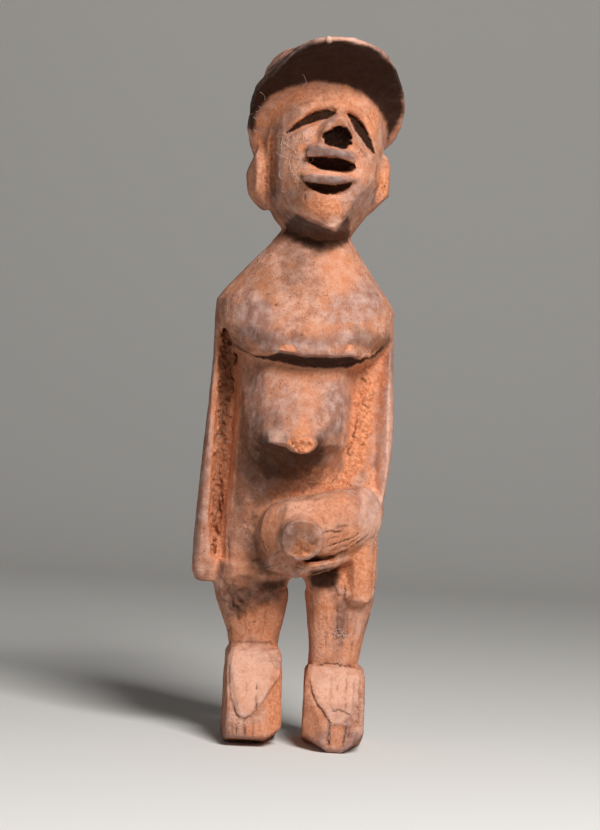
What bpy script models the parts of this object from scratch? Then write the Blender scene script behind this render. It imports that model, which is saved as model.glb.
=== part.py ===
"""An ancestor figure carved from one billet of wood: a standing figure in a peaked cap.

The figure faces -Y and stands on Z = 0, with the middle of its bounding box over the origin. It is one
solid. Lofted masses for the limbs, trunk, head and cap are hewn with flat cuts, joined, gouged, and then
worn round as old wood is. Pose and proportions are shares of the height, counted in MM, which is one
millimetre at the real height. The head and the feet are drawn in frames of their own.
"""

import math
from typing import NamedTuple

import bmesh
import bpy
from mathutils import Matrix, Vector

# The height that drives every other size, in metres, and the number of MM in it.
HEIGHT = 0.2306
SHARES = 230.6
MM = HEIGHT / SHARES

# Fineness of the finished solid.
WEAR_GRID = 0.7 * MM
WEAR_STEPS = 2
TRIANGLES = 9600
SOLE_TRIM = 0.8 * MM

# Places and turns that several shapes share, in MM and degrees. CHIN_TIP and PEAK_PIVOT are in the head's
# frame.
HEAD_CENTRE = Vector((2.5, 0.5, 193.0))
HEAD_TURN = 10.0
HEAD_TILT = 12.0
PEAK_TURN = -5.0
PEAK_ROLL = -9.0
PEAK_PIVOT = Vector((0.6, 0.0, 15.0))
CHIN_TIP = Vector((1.7, -24.3, -26.0))

# Uneven places along the edge of the peak: degrees round from its middle, and how wide each one is.
PEAK_DENT = (-27.0, 10.0)
PEAK_SAG = (22.0, 14.0)
PEAK_FLARE = (62.0, 16.0)

# The rest of the body, in MM.
SHOULDER_SLOPE = 0.03
PLATE_RISE = 1.2
WEB_FRONT = 1.0
WEB_BACK = 8.0
STUB_RADIUS = 7.0
STUB_FACE = Vector((2.9, -35.0, 69.2))
STUB_AIM = Vector((0.10, -1.0, -0.22))


class Section(NamedTuple):
    """A level outline: height, centre, reach to the sides, the front and the back, and how square it is."""

    z: float
    x: float
    y: float
    side: float
    front: float
    back: float
    square: float = 2.5


class Station(NamedTuple):
    """A place along a limb: its centre and the half thickness and half height of the limb there."""

    x: float
    y: float
    z: float
    thick: float
    high: float


def power(value, exponent):
    """The value raised to a power, with its sign kept."""
    return math.copysign(abs(value) ** exponent, value)


def outline(section, sides):
    """The points of a section, as a superellipse whose front and back may differ."""
    points = []
    for step in range(sides):
        turn = 2 * math.pi * step / sides
        across, along = math.cos(turn), math.sin(turn)
        reach = section.back if along > 0 else section.front
        points.append(
            Vector(
                (
                    section.x + section.side * power(across, 2 / section.square),
                    section.y + reach * power(along, 2 / section.square),
                    section.z,
                )
            )
        )
    return points


def skin(rings):
    """A closed mesh through rings of points, with a flat cap on the first and on the last."""
    mesh = bmesh.new()
    loops = [[mesh.verts.new(point) for point in ring] for ring in rings]
    for lower, upper in zip(loops, loops[1:]):
        for step in range(len(lower)):
            after = (step + 1) % len(lower)
            mesh.faces.new((lower[step], lower[after], upper[after], upper[step]))
    mesh.faces.new(reversed(loops[0]))
    mesh.faces.new(loops[-1])
    bmesh.ops.recalc_face_normals(mesh, faces=mesh.faces)
    return mesh


def loft(sections, sides=28):
    """A closed mesh through level outlines, from the lowest up."""
    return skin([outline(section, sides) for section in sections])


def sweep(stations, sides=20):
    """A closed limb through stations, each ring standing across the way the limb runs."""
    centres = [Vector(station[:3]) for station in stations]
    rings = []
    for place, station in enumerate(stations):
        before = centres[max(place - 1, 0)]
        after = centres[min(place + 1, len(centres) - 1)]
        along = (after - before).normalized()
        out = along.cross(Vector((0, 0, 1))).normalized()
        up = out.cross(along).normalized()
        turns = (2 * math.pi * step / sides for step in range(sides))
        rings.append(
            [
                centres[place]
                + out * station.thick * math.cos(turn)
                + up * station.high * math.sin(turn)
                for turn in turns
            ]
        )
    return skin(rings)


def block(low, high):
    """A box between two corners."""
    mesh = bmesh.new()
    low, high = Vector(low), Vector(high)
    place = Matrix.Translation((low + high) / 2) @ Matrix.Diagonal(high - low).to_4x4()
    bmesh.ops.create_cube(mesh, size=1.0, matrix=place)
    return mesh


def boulder(centre, radii, turns=(0, 0, 0)):
    """An ellipsoid, turned by degrees about X, then Y, then Z."""
    mesh = bmesh.new()
    turn = Matrix.Identity(4)
    for axis, degrees in zip("XYZ", turns):
        turn = Matrix.Rotation(math.radians(degrees), 4, axis) @ turn
    place = Matrix.Translation(centre) @ turn @ Matrix.Diagonal(radii).to_4x4()
    bmesh.ops.create_uvsphere(mesh, u_segments=24, v_segments=14, radius=1.0, matrix=place)
    return mesh


def drum(face, aim, radius, length):
    """A cylinder that ends in a flat face, looking along aim."""
    mesh = bmesh.new()
    aim = aim.normalized()
    turn = aim.to_track_quat("Z", "Y").to_matrix().to_4x4()
    place = Matrix.Translation(face - aim * length / 2) @ turn
    bmesh.ops.create_cone(
        mesh, cap_ends=True, segments=28, radius1=radius, radius2=radius, depth=length, matrix=place
    )
    return mesh


def hew(mesh, point, normal):
    """Cuts away all that lies beyond a plane, and closes the cut."""
    everything = list(mesh.verts) + list(mesh.edges) + list(mesh.faces)
    outward = Vector(normal).normalized()
    bmesh.ops.bisect_plane(mesh, geom=everything, plane_co=Vector(point), plane_no=outward, clear_outer=True)
    rim = [edge for edge in mesh.edges if edge.is_boundary]
    bmesh.ops.holes_fill(mesh, edges=rim, sides=0)
    bmesh.ops.recalc_face_normals(mesh, faces=mesh.faces)
    return mesh


def move(mesh, matrix):
    """The mesh with all its points moved by a matrix."""
    bmesh.ops.transform(mesh, matrix=matrix, verts=mesh.verts)
    return mesh


def collection(name):
    """A new collection in the scene."""
    made = bpy.data.collections.new(name)
    bpy.context.scene.collection.children.link(made)
    return made


def helper(name, mesh, home):
    """Puts a mesh, drawn in MM, into a collection, as a wire that no render shows."""
    move(mesh, Matrix.Scale(MM, 4))
    data = bpy.data.meshes.new(name)
    mesh.to_mesh(data)
    mesh.free()
    made = bpy.data.objects.new(name, data)
    made.hide_render = True
    made.display_type = "WIRE"
    home.objects.link(made)
    return made


def on_head():
    """The matrix that carries the head's own frame to its turned and tilted place on the neck."""
    turn = Matrix.Rotation(math.radians(HEAD_TURN), 4, "Z")
    tilt = Matrix.Rotation(math.radians(-HEAD_TILT), 4, "X")
    return Matrix.Translation(HEAD_CENTRE) @ turn @ tilt


def trunk():
    """The hips and the waist, up into the chest."""
    return loft(
        [
            Section(52.5, 1.5, 2.0, 23.5, 11.0, 11.0, 3.2),
            Section(56.0, 1.8, 2.5, 25.8, 13.5, 13.0, 3.0),
            Section(66.0, 1.8, 2.5, 26.2, 14.0, 15.5, 2.8),
            Section(76.0, 0.5, 1.5, 24.5, 14.0, 14.5, 2.8),
            Section(90.0, -1.5, 1.0, 21.0, 13.0, 13.0, 2.8),
            Section(104.0, -2.0, 1.0, 20.0, 15.0, 13.0, 2.8),
            Section(118.0, -1.5, 1.0, 20.0, 16.0, 14.5, 2.8),
            Section(132.0, -1.0, 1.0, 21.0, 16.0, 16.5, 2.8),
            Section(145.0, 0.0, 1.0, 22.0, 15.0, 16.5, 2.6),
        ]
    )


def belly():
    """The pot belly, which leans out to a ridge at the navel and is cut back under it."""
    mesh = loft(
        [
            Section(82.0, -2.5, 0.0, 17.0, 12.0, 5.0, 2.6),
            Section(90.0, -2.0, 0.0, 17.5, 14.5, 5.0, 2.5),
            Section(96.6, -1.5, 0.0, 17.5, 19.0, 5.0, 2.4),
            Section(100.2, -1.2, 0.0, 18.0, 25.5, 5.0, 2.4),
            Section(105.0, -1.5, 0.0, 18.4, 25.2, 5.0, 2.5),
            Section(117.0, -1.5, 0.0, 18.8, 22.0, 5.0, 2.7),
            Section(131.0, -1.5, 0.0, 18.8, 18.0, 5.0, 2.8),
        ]
    )
    hew(mesh, (-12.5, -22.5, 105.0), (-0.78, -0.60, 0.14))
    hew(mesh, (10.5, -23.0, 105.0), (0.74, -0.66, -0.02))
    return mesh


def bib():
    """The chest and shoulders, from the neck down to the overhanging shelf, lower on the left shoulder."""
    mesh = loft(
        [
            Section(124.9, 1.0, 0.0, 14.0, 16.5, 12.0, 2.5),
            Section(127.4, 0.8, 0.0, 20.4, 26.8, 15.0, 2.4),
            Section(129.0, 0.5, 0.0, 24.0, 28.9, 16.0, 2.3),
            Section(136.6, 0.0, 0.0, 29.6, 27.2, 17.5, 2.4),
            Section(145.5, 0.0, 0.0, 29.8, 24.0, 18.0, 2.5),
            Section(149.0, 0.2, 0.0, 27.6, 22.5, 17.0, 2.5),
            Section(158.0, 0.8, 0.0, 20.4, 18.0, 15.0, 2.4),
            Section(165.0, 1.5, 0.0, 14.8, 14.5, 13.5, 2.3),
            Section(172.0, 1.8, 0.5, 9.8, 10.5, 12.5, 2.2),
        ],
        sides=36,
    )
    slope = Matrix.Identity(4)
    slope[2][0] = -SHOULDER_SLOPE
    return move(mesh, slope)


def neck():
    """The neck, from inside the chest to inside the head."""
    return loft(
        [
            Section(158.0, 1.2, 0.0, 17.0, 15.0, 13.0, 2.3),
            Section(170.0, 2.0, 1.0, 9.6, 10.5, 12.0, 2.2),
            Section(186.0, 2.5, 2.0, 9.4, 8.0, 13.0, 2.2),
        ]
    )


def hanging_arm():
    """The right arm, straight down beside the trunk to a cut end at the hip."""
    mesh = loft(
        [
            Section(52.6, -28.6, 1.0, 3.6, 6.0, 6.0, 2.8),
            Section(56.0, -28.9, 1.0, 4.5, 7.5, 7.5, 2.8),
            Section(66.0, -28.8, 1.0, 4.6, 8.5, 8.5, 2.8),
            Section(86.0, -28.0, 1.0, 4.4, 8.5, 8.5, 2.8),
            Section(106.0, -27.0, 1.0, 4.2, 8.5, 8.5, 2.8),
            Section(126.0, -26.0, 1.0, 4.0, 8.5, 9.0, 2.8),
            Section(144.0, -25.0, 1.0, 5.0, 8.0, 10.0, 2.6),
        ],
        sides=20,
    )
    return hew(mesh, (-30.0, -7.5, 100.0), (0.70, -0.71, 0.03))


def bent_arm():
    """The left upper arm, which comes forward as it falls to the elbow."""
    mesh = loft(
        [
            Section(70.0, 21.5, -7.0, 3.0, 4.5, 6.0, 2.4),
            Section(74.0, 22.9, -6.5, 4.2, 6.5, 8.0, 2.5),
            Section(80.0, 24.2, -6.0, 4.6, 7.5, 9.5, 2.6),
            Section(92.0, 26.2, -4.0, 4.4, 8.5, 10.0, 2.8),
            Section(104.0, 27.2, -1.0, 4.3, 8.5, 9.5, 2.8),
            Section(122.0, 26.4, 0.5, 4.2, 8.5, 9.0, 2.8),
            Section(140.0, 25.2, 1.0, 4.8, 8.0, 10.0, 2.6),
        ],
        sides=20,
    )
    return hew(mesh, (27.4, -7.5, 104.0), (-0.68, -0.73, 0.06))


def forearm_and_fist():
    """The left forearm, swept from the elbow across the belly to a broad fist."""
    return sweep(
        [
            Station(25.2, -2.0, 80.0, 4.6, 6.5),
            Station(22.4, -9.0, 77.8, 7.2, 9.6),
            Station(16.0, -17.0, 75.6, 8.4, 10.6),
            Station(8.0, -21.5, 73.4, 9.0, 11.0),
            Station(0.5, -21.8, 71.4, 9.0, 11.4),
            Station(-5.0, -17.5, 71.0, 7.2, 10.0),
            Station(-7.5, -10.5, 70.5, 4.8, 7.5),
        ]
    )


def fingers():
    """The fingers that close under the stub."""
    return sweep(
        [
            Station(18.0, -13.0, 64.5, 3.0, 2.4),
            Station(10.0, -19.5, 61.8, 4.0, 3.2),
            Station(2.0, -22.5, 60.0, 5.0, 3.8),
            Station(-5.6, -19.5, 64.0, 5.0, 6.0),
        ]
    )


def leg(outer_side):
    """A leg, from inside the hips to inside the foot."""
    if outer_side < 0:
        sections = [
            Section(24.0, -11.6, 1.5, 8.2, 9.0, 10.5, 2.6),
            Section(32.5, -11.7, 1.5, 8.3, 9.0, 10.5, 2.6),
            Section(36.6, -11.8, 1.5, 8.9, 9.5, 11.0, 2.6),
            Section(41.6, -12.2, 1.5, 10.6, 10.5, 12.5, 2.6),
            Section(47.0, -12.8, 1.5, 12.2, 11.5, 14.0, 2.7),
            Section(52.0, -13.2, 1.5, 12.8, 12.0, 14.5, 2.8),
            Section(60.0, -12.0, 1.5, 13.0, 12.0, 15.0, 2.8),
        ]
    else:
        sections = [
            Section(20.0, 15.2, 0.5, 8.2, 9.0, 10.5, 2.6),
            Section(28.0, 15.3, 0.5, 8.4, 9.0, 10.5, 2.6),
            Section(34.0, 15.7, 0.8, 9.0, 9.5, 11.0, 2.6),
            Section(41.6, 16.1, 1.0, 10.2, 10.5, 12.5, 2.6),
            Section(47.0, 16.4, 1.2, 11.3, 11.5, 14.0, 2.7),
            Section(52.0, 16.2, 1.5, 12.0, 12.0, 14.5, 2.8),
            Section(60.0, 15.0, 1.5, 13.0, 12.0, 15.0, 2.8),
        ]
    return loft(sections, sides=24)


def foot(outer_side):
    """A wedge of a foot, hewn from a block, and the plate that stands proud on its flat instep."""
    if outer_side < 0:
        middle, half, toe, heel, top, turn = -11.2, 9.3, -24.5, 15.5, 31.8, 4.0
        spring, inner, outer = (4.2, -0.21), 8.2, 3.0
        tip, left_edge, right_edge = 10.2, ((-5.1, 11.5), (-0.98, -0.20)), ((1.6, 14.2), (0.81, -0.58))
    else:
        middle, half, toe, heel, top, turn = 16.0, 10.0, -28.0, 15.0, 26.6, 0.0
        spring, inner, outer = (1.6, -0.60), 7.6, 7.8
        tip, left_edge, right_edge = 10.0, ((-2.8, 13.4), (-0.83, -0.55)), ((6.3, 13.0), (0.95, -0.32))
    mesh = block((-half, toe, 0.0), (half, heel, top))
    instep_top, instep_foot = Vector((0, -7.5, top)), Vector((0, toe + 0.8, 8.5))
    slope = (instep_top - instep_foot).normalized()
    outward = Vector((0, -slope.z, slope.y))
    hew(mesh, instep_foot, outward)
    hew(mesh, (-outer_side * 2.0, toe, 9.5), (-outer_side * 0.70, -0.62, 0.34))
    hew(mesh, (outer_side * 6.0, toe, 9.5), (outer_side * 0.60, -0.70, 0.38))
    hew(mesh, (-outer_side * half * 0.70, toe, 0.0), (-outer_side * 0.80, -0.60, 0.0))
    hew(mesh, (outer_side * half * 0.84, toe, 0.0), (outer_side * 0.75, -0.65, 0.0))
    hew(mesh, (0, toe, spring[0]), (0, spring[1], -0.9))
    hew(mesh, (-outer_side * half, toe, inner), (-outer_side * 0.60, -0.16, -0.78))
    hew(mesh, (outer_side * half, toe, outer), (outer_side * 0.70, -0.16, -0.70))
    hew(mesh, (0, heel, 14.0), (0, 0.95, 0.30))
    for side in (-1, 1):
        hew(mesh, (side * half * 0.8, heel, 0.0), (side * 0.75, 0.65, 0.0))
        hew(mesh, (side * half, 0.0, top - 2.2), (side * 0.80, 0.0, 0.60))
    plate = block((0.9 - half, toe - 2.0, tip), (half - 0.9, 0.0, top))
    hew(plate, instep_foot + PLATE_RISE * outward, outward)
    for (across, level), (aside, down) in (left_edge, right_edge):
        hew(plate, (across, 0, level), (aside, 0, down))
    place = Matrix.Translation((middle, 0, 0)) @ Matrix.Rotation(math.radians(turn), 4, "Z")
    return move(mesh, place), move(plate, place)


def head():
    """The head, with a flat face, flat cheeks and a pointed chin."""
    mesh = loft(
        [
            Section(-27.2, 0.5, 0.0, 7.0, 19.0, 9.0, 2.1),
            Section(-23.0, 0.3, 0.0, 11.2, 23.0, 14.0, 2.2),
            Section(-17.0, 0.0, 0.0, 15.8, 25.5, 17.5, 2.3),
            Section(-10.0, 0.0, 0.0, 19.0, 26.5, 19.5, 2.4),
            Section(5.0, 0.0, 0.0, 20.0, 26.5, 21.0, 2.4),
            Section(14.0, 0.0, 0.0, 20.2, 25.0, 22.0, 2.3),
            Section(24.0, 0.0, 0.0, 19.0, 22.0, 21.0, 2.3),
        ],
        sides=36,
    )
    hew(mesh, (0, -24.3, 0), (0, -1, 0.02))
    hew(mesh, (-9.5, -24.3, 0), (-0.52, -0.85, -0.04))
    hew(mesh, (12.5, -24.3, 0), (0.68, -0.73, 0))
    hew(mesh, CHIN_TIP, (-0.32, -0.45, -0.84))
    hew(mesh, CHIN_TIP, (0.78, -0.35, -0.51))
    return mesh


def ear(side):
    """A flat ear at the edge of the cheek."""
    mesh = boulder((side * 20.2, 1.5, -5.6), (4.8, 7.0, 11.5), (16, side * 9, 0))
    hew(mesh, (side * 24.0, 1.5, -5.0), (side * 1.0, -0.25, -0.10))
    hew(mesh, (side * 21.6, 0.0, 3.6), (side * 0.92, 0.0, 0.38))
    lobe = 17.8 if side < 0 else 16.4
    return hew(mesh, (side * lobe, 0.0, -16.0), (side * 0.70, 0.0, -0.71))


def nose():
    """A wedge of a nose that widens down from the brow and is hollowed beneath."""
    return loft(
        [
            Section(-1.6, -0.4, -23.0, 5.6, 3.0, 3.0, 2.0),
            Section(3.0, -0.1, -23.0, 6.2, 9.0, 3.0, 1.7),
            Section(6.4, 0.4, -23.0, 4.8, 8.2, 3.0, 1.7),
            Section(12.0, 1.4, -23.0, 1.8, 2.4, 3.0, 2.0),
        ],
        sides=16,
    )


def lips():
    """The two bars of the lips."""
    upper = boulder((-1.2, -24.4, -3.5), (8.8, 4.2, 2.7), (0, 6, 0))
    lower = boulder((-1.8, -24.2, -12.0), (9.2, 4.2, 2.5), (0, 1, 0))
    return upper, lower


def crown():
    """The flat-topped crown of the cap, cut off low at the back and high at the front."""
    mesh = loft(
        [
            Section(-9.0, 0.0, 1.0, 20.8, 20.0, 22.0, 2.3),
            Section(4.0, 0.0, 1.0, 21.6, 22.0, 23.5, 2.3),
            Section(18.0, 0.0, 1.0, 21.4, 22.5, 23.5, 2.3),
            Section(27.5, -0.5, 1.0, 19.8, 20.5, 21.5, 2.3),
            Section(33.0, -1.6, 1.0, 17.0, 18.0, 19.0, 2.3),
            Section(36.0, -2.8, 0.0, 13.8, 15.0, 15.5, 2.3),
            Section(37.8, -3.6, -1.0, 8.6, 9.0, 9.5, 2.2),
        ],
        sides=32,
    )
    return hew(mesh, (0, 2.0, 4.0), (0, -0.52, -0.85))


def swell(value, middle, width):
    """A bell that is 1 at its middle and has all but died away two widths off."""
    return math.exp(-(((value - middle) / width) ** 2))


def peak():
    """The peak of the cap: a curved sheet that flares from temple to temple, high over the forehead."""
    steps_round, steps_out = 28, 6
    half_turn = math.radians(100)
    thick_root, thick_rim = 3.4, 2.0
    under, over = [], []
    for station in range(steps_round + 1):
        turn = half_turn * (2 * station / steps_round - 1)
        ahead = max(math.cos(turn), 0.0)
        tuck = max(abs(math.degrees(turn)) - 66.0, 0.0) / 34.0
        root = Vector((19.5 * math.sin(turn), 1.5 - 22.5 * math.cos(turn), 3.5 + 15.5 * ahead))
        dent, sag, flare = (swell(math.degrees(turn), *place) for place in (PEAK_DENT, PEAK_SAG, PEAK_FLARE))
        reach = 27.7 + 20.4 * ahead**3.6 - 6.6 * tuck**1.4 - 2.0 * dent + 1.5 * flare
        height = 5.0 + 21.2 * ahead**1.05 - 1.6 * dent - 1.0 * sag
        rim = Vector((reach * math.sin(turn), 1.5 - (reach + 1.5) * math.cos(turn), height))
        lower, upper = [], []
        for step in range(steps_out + 1):
            share = step / steps_out
            point = root.lerp(rim, share)
            point.z += 1.6 * math.sin(math.pi * share) * ahead
            thick = thick_root + (thick_rim - thick_root) * share
            lower.append(point)
            upper.append(point + Vector((0, 0, thick)))
        under.append(lower)
        over.append(upper)
    rings = [lower + upper[::-1] for lower, upper in zip(under, over)]
    roll = Matrix.Rotation(math.radians(PEAK_ROLL), 4, "Y") @ Matrix.Translation(-PEAK_PIVOT)
    turn = Matrix.Rotation(math.radians(PEAK_TURN), 4, "Z") @ Matrix.Translation(PEAK_PIVOT)
    return move(skin(rings), turn @ roll)


def web():
    """The wood left between the arms and the trunk, with earth packed against the left arm."""
    bridge = loft(
        [
            Section(55.0, 0.0, 0.0, 28.5, -WEB_FRONT, WEB_BACK, 4.0),
            Section(140.0, 0.0, 0.0, 26.5, -WEB_FRONT, WEB_BACK, 4.0),
        ]
    )
    earth = loft(
        [
            Section(80.0, 17.0, -4.0, 8.0, 9.0, 6.0, 2.6),
            Section(92.0, 19.5, -3.0, 6.5, 6.0, 6.0, 2.6),
            Section(110.0, 21.0, -1.0, 5.0, 4.6, 6.0, 2.6),
            Section(134.0, 21.5, -1.0, 4.6, 4.4, 6.0, 2.6),
        ],
        sides=16,
    )
    return bridge, earth


def stub():
    """The round billet that the fist holds, cut off square at its end."""
    return drum(STUB_FACE, STUB_AIM, STUB_RADIUS, 26.0)


def navel():
    """The broad prow that the belly runs out to, and the blunt end of the navel, which is broken."""
    base = loft(
        [
            Section(97.4, -1.0, -14.0, 11.0, 10.5, 5.0, 2.0),
            Section(100.0, -1.6, -14.0, 14.4, 15.6, 5.0, 1.8),
            Section(103.0, -2.0, -14.0, 14.2, 15.8, 5.0, 1.8),
            Section(110.0, -1.8, -14.0, 12.6, 12.0, 5.0, 2.0),
            Section(120.0, -1.5, -14.0, 10.0, 6.6, 5.0, 2.2),
        ]
    )
    tip = boulder((0.8, -26.0, 100.4), (5.2, 7.0, 3.6), (10, 0, 0))
    return base, hew(tip, (0.8, -31.6, 100.6), (0.15, -1.0, -0.40))


def buttocks():
    """The two low swells of the seat."""
    return [boulder((side * 11.0 + 1.0, 9.0, 65.0), (13.0, 11.5, 16.0), (-8, 0, 0)) for side in (-1, 1)]


def thigh_panel():
    """The flat panel left standing on the outside of the left thigh, with its stepped lower edge."""
    mesh = block((18.5, -13.8, 48.7), (27.8, 4.0, 77.0))
    hew(mesh, (20.4, -13.8, 60.0), (-0.80, -0.60, 0.0))
    hew(mesh, (24.0, -13.8, 60.0), (0.66, -0.75, 0.0))
    hew(mesh, (27.8, 0.0, 51.6), (0.80, 0.0, -0.60))
    return hew(mesh, (27.8, 0.0, 60.0), (0.80, 0.60, 0.0))


def head_masses():
    """The head with its ears, nose, lips and cap, carried to its place on the neck."""
    masses = {
        "head": head(),
        "right_ear": ear(-1),
        "left_ear": ear(1),
        "nose": nose(),
        "crown": crown(),
        "peak": peak(),
    }
    masses["upper_lip"], masses["lower_lip"] = lips()
    return {name: move(mesh, on_head()) for name, mesh in masses.items()}


def body_masses():
    """All of the figure below the head."""
    right_cheek, left_cheek = buttocks()
    bridge, earth = web()
    navel_base, navel_tip = navel()
    right_foot, right_plate = foot(-1)
    left_foot, left_plate = foot(1)
    return {
        "belly": belly(),
        "navel_base": navel_base,
        "navel_tip": navel_tip,
        "bib": bib(),
        "neck": neck(),
        "hanging_arm": hanging_arm(),
        "bent_arm": bent_arm(),
        "forearm": forearm_and_fist(),
        "fingers": fingers(),
        "stub": stub(),
        "right_buttock": right_cheek,
        "left_buttock": left_cheek,
        "thigh_panel": thigh_panel(),
        "bridge": bridge,
        "earth": earth,
        "right_leg": leg(-1),
        "left_leg": leg(1),
        "right_foot": right_foot,
        "right_plate": right_plate,
        "left_foot": left_foot,
        "left_plate": left_plate,
    }


def eye_slit(side):
    """A slanting slit of an eye, which also stands for the brow."""
    if side < 0:
        route = ((-17.0, 2.4), (-11.0, 6.2), (-5.0, 9.8), (0.2, 11.2))
        depths = (-19.6, -23.2, -24.6, -24.6)
    else:
        route = ((3.4, 11.0), (7.4, 8.2), (11.2, 3.4), (14.0, -2.0))
        depths = (-24.6, -24.6, -24.4, -22.6)
    swell = (1.3, 2.2, 2.4, 1.4)
    return sweep([Station(x, y, z, 2.6, half) for (x, z), y, half in zip(route, depths, swell)], sides=12)


def head_cuts():
    """What the knife took out of the head, carried to its place on the neck."""
    cuts = {
        "right_eye": eye_slit(-1),
        "left_eye": eye_slit(1),
        "mouth": boulder((-1.0, -27.0, -8.3), (7.8, 5.6, 2.2), (6, 5, 0)),
        "under_lip": boulder((-1.0, -27.6, -15.2), (7.8, 5.2, 2.2), (-8, 2, 0)),
        "under_nose": boulder((0.2, -31.0, 2.2), (5.2, 7.6, 3.4), (-42, 0, 0)),
        "right_cheek": boulder((-18.6, -11.5, -7.0), (1.9, 7.0, 15.0), (6, 0, -12)),
        "left_cheek": boulder((18.8, -10.5, -8.0), (1.6, 6.5, 13.0), (6, 0, 12)),
    }
    return {name: move(mesh, on_head()) for name, mesh in cuts.items()}


def body_cuts():
    """What the knife took out of the body."""
    return {
        "right_groove": loft(
            [
                Section(61.0, -26.4, -5.0, 0.8, 5.0, 3.0, 2.4),
                Section(74.0, -26.2, -5.0, 2.2, 9.0, 5.5, 2.4),
                Section(100.0, -25.6, -5.0, 2.6, 9.0, 6.0, 2.4),
                Section(128.0, -25.2, -5.0, 2.5, 9.0, 5.0, 2.4),
                Section(140.0, -25.0, -5.0, 1.6, 9.0, 2.0, 2.4),
            ],
            sides=16,
        ),
        "spine": boulder((0.5, 22.0, 112.0), (3.2, 6.5, 44.0)),
        "seat_cleft": boulder((1.0, 26.0, 62.0), (2.6, 7.0, 16.0)),
        "under_belly": boulder((-1.0, -29.0, 89.4), (12.0, 12.5, 7.0), (-14, 0, 0)),
        "under_hip": loft(
            [
                Section(44.0, -12.5, -18.0, 13.5, 6.0, 4.0, 3.0),
                Section(55.2, -12.5, -18.0, 13.5, 6.0, 9.0, 3.0),
            ]
        ),
        "crotch": boulder((1.8, 2.0, 52.6), (3.4, 24.0, 4.2)),
        "right_wrist": boulder((-28.5, 15.0, 60.0), (8.0, 6.0, 16.0)),
        "under_fingers": boulder((11.0, -25.5, 63.6), (12.0, 6.0, 1.1), (0, -7, 0)),
    }


def wood():
    """Dusty wood: the plain finish of the solid."""
    made = bpy.data.materials.new("dusty_wood")
    made.use_nodes = True
    shader = made.node_tree.nodes["Principled BSDF"]
    shader.inputs["Base Color"].default_value = (0.50, 0.22, 0.11, 1.0)
    shader.inputs["Roughness"].default_value = 0.85
    shader.inputs["Metallic"].default_value = 0.0
    return made


def carve(obj, masses, cutters):
    """Joins the masses to the object, cuts it, and wears it round, all by modifiers."""
    join = obj.modifiers.new("join", "BOOLEAN")
    join.operation = "UNION"
    join.operand_type = "COLLECTION"
    join.collection = masses
    cut = obj.modifiers.new("cut", "BOOLEAN")
    cut.operation = "DIFFERENCE"
    cut.operand_type = "COLLECTION"
    cut.collection = cutters
    wear = obj.modifiers.new("wear", "REMESH")
    wear.mode = "VOXEL"
    wear.voxel_size = WEAR_GRID
    soften = obj.modifiers.new("soften", "SMOOTH")
    soften.factor = 0.5
    soften.iterations = WEAR_STEPS
    whole = obj.evaluated_get(bpy.context.evaluated_depsgraph_get())
    facets = obj.modifiers.new("facets", "DECIMATE")
    facets.ratio = TRIANGLES / (2 * len(whole.data.polygons))


def settle(obj):
    """Turns the modifiers into the mesh, planes the soles and centres the box over the origin."""
    whole = obj.evaluated_get(bpy.context.evaluated_depsgraph_get())
    data = bpy.data.meshes.new_from_object(whole)
    obj.modifiers.clear()
    obj.data = data
    mesh = bmesh.new()
    mesh.from_mesh(data)
    lowest = min(vert.co.z for vert in mesh.verts)
    hew(mesh, (0, 0, lowest + SOLE_TRIM), (0, 0, -1))
    across = [vert.co.x for vert in mesh.verts]
    along = [vert.co.y for vert in mesh.verts]
    sole = lowest + SOLE_TRIM
    middle = Vector(((min(across) + max(across)) / 2, (min(along) + max(along)) / 2, sole))
    move(mesh, Matrix.Translation(-middle))
    bmesh.ops.triangulate(mesh, faces=mesh.faces)
    mesh.to_mesh(data)
    mesh.free()


def main():
    """Clears the scene and carves the figure."""
    for old in list(bpy.data.objects):
        bpy.data.objects.remove(old, do_unlink=True)
    home = collection("ancestor_figure")
    masses = collection("masses")
    cutters = collection("cutters")
    for helpers in (masses, cutters):
        helpers.hide_render = True
    for name, mesh in {**body_masses(), **head_masses()}.items():
        helper(name, mesh, masses)
    for name, mesh in {**body_cuts(), **head_cuts()}.items():
        helper("cut_" + name, mesh, cutters)
    figure = helper("figure", trunk(), home)
    figure.hide_render = False
    figure.display_type = "TEXTURED"
    carve(figure, masses, cutters)
    settle(figure)
    figure.data.materials.clear()
    figure.data.materials.append(wood())
    figure.data.shade_smooth()
    figure.data.set_sharp_from_angle(angle=math.radians(35))


main()
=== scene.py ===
"""Dresses the carved ancestor figure: old wood under orange dust, packed earth, soot with painted shade and
highlights, and lint.

Marks on the front of the figure are placed as the eye meets them, in millimetres across and up a plane that
stands through the figure's middle. Everything else is worked out from the solid itself.
"""

import logging
import math
from collections.abc import Sequence
from dataclasses import dataclass
from enum import Enum

import bpy
import numpy as np
from mathutils import Matrix, Vector
from mathutils.bvhtree import BVHTree


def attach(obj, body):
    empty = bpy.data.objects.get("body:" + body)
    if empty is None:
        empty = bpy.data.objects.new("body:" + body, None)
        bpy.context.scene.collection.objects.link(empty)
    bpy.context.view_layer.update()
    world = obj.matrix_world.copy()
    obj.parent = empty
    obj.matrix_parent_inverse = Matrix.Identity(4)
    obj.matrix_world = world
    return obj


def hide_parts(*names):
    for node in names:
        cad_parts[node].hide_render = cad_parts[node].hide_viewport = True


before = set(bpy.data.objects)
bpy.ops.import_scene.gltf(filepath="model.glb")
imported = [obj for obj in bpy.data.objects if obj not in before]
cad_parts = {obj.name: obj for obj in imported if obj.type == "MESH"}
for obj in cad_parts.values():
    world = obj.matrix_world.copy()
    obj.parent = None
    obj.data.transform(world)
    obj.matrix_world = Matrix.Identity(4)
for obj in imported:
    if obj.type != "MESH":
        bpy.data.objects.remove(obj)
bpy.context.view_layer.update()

LOG = logging.getLogger("ancestor_figure")
MM = 0.001
Place = tuple[float, float]
Mark = tuple[float, float, float]
Inputs = dict[int | str, object]

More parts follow.
